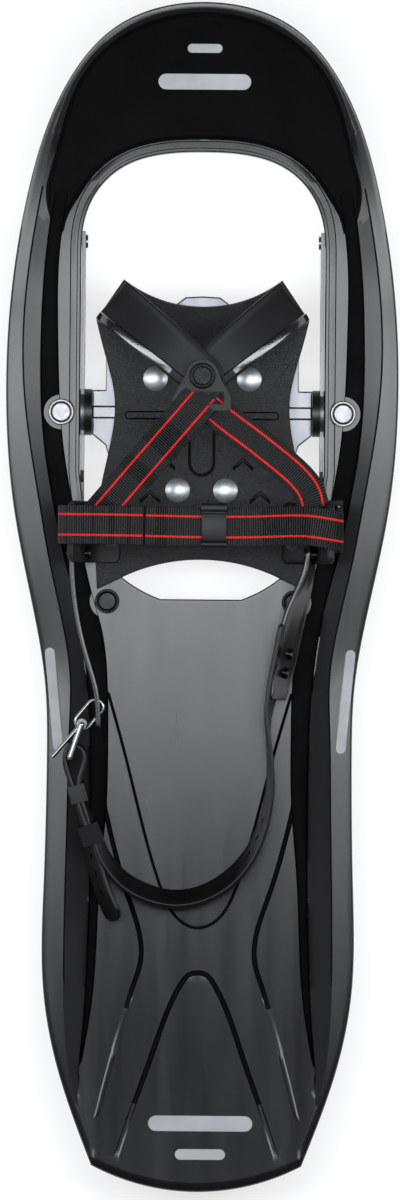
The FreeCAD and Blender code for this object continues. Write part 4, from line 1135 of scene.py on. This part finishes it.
BAND_TOP = 93.0
BAND = [
    (-72.6, 37.6, 74), (-72.3, 37.6, 84.5), (-69.4, 37.6, 89.8), (-62, 37.6, 91.4),
    (-36, 37.4, BAND_TOP), (6, 36.8, BAND_TOP), (36, 37.4, BAND_TOP), (58, 37.4, 91.8),
    (67, 36, 90.2), (71.4, 35.2, 86), (72.4, 35, 79),
]
BAND_SEAM = 57.0
LEG_LEFT = [
    (1.6, 105.5, 80.6), (-1.4, 102, 84.6), (-5, 97.7, 86.8), (-13, 88.3, 86.6), (-30, 68.4, 86),
    (-46.9, 48.4, 85.4), (-55.5, 38.3, 81.5),
]
LEG_RIGHT = [
    (4, 99.4, 80.2), (12, 92.6, 81.4), (22, 85.2, 82.4), (40, 71.4, 83.6), (49.5, 63.2, 83),
    (55.5, 55.2, 81.2), (57.8, 47, 79.5),
]


def make_harness_webbing():
    """Cross band, and the two legs of the V, which bend between the strap loop and the band."""
    band = make_webbing("instep_band", BAND, (0, 1, 0), 20.0, ["instep_webbing"], BAND_SEAM)
    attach(band, "binding")
    for name, route, width, node in (("v_leg_left", LEG_LEFT, 19.6, "toe_webbing_left"),
                                     ("v_leg_right", LEG_RIGHT, 16.5, "toe_webbing_right")):
        run = np.array(route[-1]) - np.array(route[0])
        leg = make_webbing(name, route, (run[1], -run[0], 0), width, [node])
        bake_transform(leg)


# ---- heel harness
PIVOT = (0.0, 23.0, 58.0)
TILT = 3.6
ARM_LEFT = [(-66.9, 30.5), (-66.7, 14), (-63.6, -12), (-58.8, -31), (-53.8, -49), (-52.4, -67.5)]
ARM_RIGHT = [(56.1, 30.5), (56.1, 16), (51.5, 0), (40, -52)]
STRAP = [
    (45.4, -13.4), (38.2, -45.4), (35.4, -61), (36.8, -84), (35.2, -110), (28.2, -130), (18, -143.5),
    (2, -153.5), (-11.4, -156), (-24.4, -153.8), (-37.9, -147), (-49, -134), (-57.4, -112), (-62.1, -95),
    (-60.4, -88.6), (-59.4, -82), (-61.2, -77.8), (-64.8, -76.4), (-68, -77.8), (-69.6, -81.6), (-69, -87.5),
    (-66.5, -95), (-61.4, -113), (-55.4, -131), (-50.5, -149), (-42.6, -167),
]
STRAP_HEIGHT, STRAP_THICK = 18.0, 2.4
HEEL_ARM_HEIGHT, HEEL_ARM_THICK = 15.0, 2.6
HEEL_ARM_EYE = (7.5, 2.1)
HOLE_PITCH = 9.6
REAR_HOLES, TAIL_HOLES = 10, 4


def from_harness(item):
    """Puts a mesh made in the harness plane onto the shoe."""
    tilt = Matrix.Rotation(math.radians(TILT), 4, "X")
    item.data.transform(Matrix.Translation(Vector(PIVOT) * MM) @ tilt)


def harness_path(plan_points):
    """Curve through plan points, measured from the harness's pivot."""
    return smooth([(x, y - PIVOT[1]) for x, y in plan_points], 1.5)


def strap_outline(length, half, start, end):
    """Flat strap with rounded corners: start and end are the sizes of the corners at its two ends."""
    last = length - end
    near, far = start * 0.29, end * 0.29
    return cornered([
        ((last, half), (length - far, half - far), (length, half - end)),
        ((length, end - half), (length - far, far - half), (last, -half)),
        ((start, -half), (near, near - half), (0, start - half)),
        ((0, half - start), (near, half - near), (start, half)),
    ], 2.5, 1.0)


def standing_strap(name, plan_points, height, thick, lean, holes, material, ends):
    """Strap on edge along a plan path. lean(travelled) tips its top outwards, in degrees."""
    flat = harness_path(plan_points)
    travelled = travel(flat)
    outline = strap_outline(travelled[-1], height / 2, *ends)
    rings = [ring(at, 0, radius, 14) for at, radius in holes]
    plan, faces = tile(outline, rings, [inset(outline, d) for d in (0.35, 0.9, 2.0)], [], 3.2)
    level = thick / 2 + np.interp(distance(plan, outline), [0, 0.35, 0.9, 2.0], [-0.6, -0.1, 0.0, -0.25])
    verts, made = closed_sheet(plan, faces, level, {0: -level})
    path = np.concatenate([flat, np.zeros((len(flat), 1))], 1)
    run = unit(np.gradient(path, axis=0))
    outward = np.stack([-run[:, 1], run[:, 0], np.zeros(len(run))], 1)
    angle = np.radians([lean(t) for t in travelled])
    sides = outward * np.sin(angle)[:, None] + np.array([0, 0, 1.0]) * np.cos(angle)[:, None]
    item = build(name, sheet_on_path(verts, path, sides), made, [material], sharp=40)
    straighten(item)
    from_harness(item)
    return item


def leaning(travelled, degrees):
    """Lean of a strap, in degrees, from its values at some distances along it."""
    return lambda at: float(np.interp(at, travelled, degrees))


def make_heel_harness():
    """The two arms on edge and the perforated heel strap."""
    ends = HEEL_ARM_HEIGHT / 2 * 0.98, 1.5
    for node, route, lean in (
            ("heel_arm_left", ARM_LEFT, leaning([0, 1], [0, 0])),
            ("heel_arm_right", ARM_RIGHT, leaning([0, 12, 40, 62, 85], [0, -14, -44, -52, -30]))):
        arm = standing_strap(node + "_skin", route, HEEL_ARM_HEIGHT, HEEL_ARM_THICK, lean,
                             [HEEL_ARM_EYE], heel_arm_black, ends)
        piece(arm, "heel_harness", "arm_rubber", node)

    flat = harness_path(STRAP)
    travelled = travel(flat)
    holes = []
    for (x, y), gap, count in ((STRAP[3], 31, REAR_HOLES), (STRAP[-4], 12, TAIL_HOLES)):
        nearest = int(np.argmin(np.linalg.norm(flat - (x, y - PIVOT[1]), axis=1)))
        holes += [(travelled[nearest] + gap + HOLE_PITCH * n, 1.7) for n in range(count)]
    lean = leaning([0, 30, 60, 100, 140, 190, 230, 250, 300, 320, 345, 380],
                   [-28, -20, 2, 10, 22, 22, 12, 0, 0, 8, 22, 26])
    strap = standing_strap("heel_strap_band", STRAP, STRAP_HEIGHT, STRAP_THICK, lean, holes, strap_black,
                           (1.5, STRAP_HEIGHT / 2 * 0.7))
    piece(strap, "heel_harness", "strap_rubber", "heel_strap")


# ---- camera, light and floor
LIGHT_COLOUR = (0.93, 0.965, 1.0)


def softbox(name, place, target, width, length, radiance):
    """Rectangular area light, given by its brightness and aimed at a target."""
    data = bpy.data.lights.new(name, "AREA")
    data.shape = "RECTANGLE"
    data.size = width
    data.size_y = length
    data.energy = radiance * math.pi * width * length
    data.color = LIGHT_COLOUR
    item = placed(name, data)
    item.location = place
    item.rotation_euler = (Vector(target) - Vector(place)).to_track_quat("-Z", "Y").to_euler()
    item.visible_camera = False


def make_stage():
    """Pale floor that glows a little, softboxes and a dim white world."""
    size = 6.0
    corners = [(-size, -size, 0), (size, -size, 0), (size, size, 0), (-size, size, 0)]
    mesh = bpy.data.meshes.new("floor")
    mesh.from_pydata(corners, [], [(0, 1, 2, 3)])
    floor = placed("floor", mesh)
    material, _, shader = node_material("pale_floor")
    put(shader, {"Base Color": (0.3, 0.3, 0.3, 1), "Roughness": 0.9,
                 "Emission Color": (1, 1, 1, 1), "Emission Strength": 0.7})
    mesh.materials.append(material)

    softbox("overhead_box", (0, 0.12, 1.0), (0, 0.12, 0), 0.54, 0.42, 7.5)
    for name, side in (("left", -1), ("right", 1)):
        softbox(name + "_box", (side * 0.95, 0.1, 1.05), (0, 0.05, 0.05), 0.35, 1.6, 8.0)
        softbox(name + "_nose_box", (side * 0.48, -0.22, 1.0), (0, 0.27, 0.06), 0.2, 0.26, 6.0)

    world = bpy.data.worlds.new("studio")
    bpy.context.scene.world = world
    world.use_nodes = True
    put(world.node_tree.nodes["Background"], {"Color": (1, 1, 1, 1), "Strength": 0.09})


def make_camera():
    """Straight down over the middle of the deck, with the shoe turned a little clockwise in the frame."""
    frame_height, turn = 0.6216, 0.47
    data = bpy.data.cameras.new("camera")
    data.lens = 520.0
    data.sensor_width = 36.0
    data.clip_end = 50.0
    camera = placed("camera", data)
    height = DECK_TOP * MM + frame_height * data.lens / data.sensor_width
    camera.location = (-0.0003, -0.0008, height)
    camera.rotation_euler = (0, 0, math.radians(turn))
    bpy.context.scene.camera = camera
    bpy.context.scene.view_settings.view_transform = "Standard"


make_camera()
make_stage()
dress_nodes()
make_deck()
make_footbed()
make_toe_arm("toe_arm_left", 140.5, 80.0, 1)
make_toe_arm("toe_arm_right", 39.5, 76.5, -1)
make_crampon()
make_deck_rivets("pivot_rivet_heads", "pivot_rivets", "silver_rivet", PIVOT_RIVET, 6.75, 4.75, silver)
make_deck_rivets("rear_rivet_heads", "deck_rear_rivets", "dark_rivet", REAR_RIVET, 6.35, 4.5, dark_steel)
make_screw()
make_keeper()
make_wing("side_wing_left", -1)
make_wing("side_wing_right", 1)
make_harness_webbing()
make_heel_harness()

bpy.context.view_layer.update()
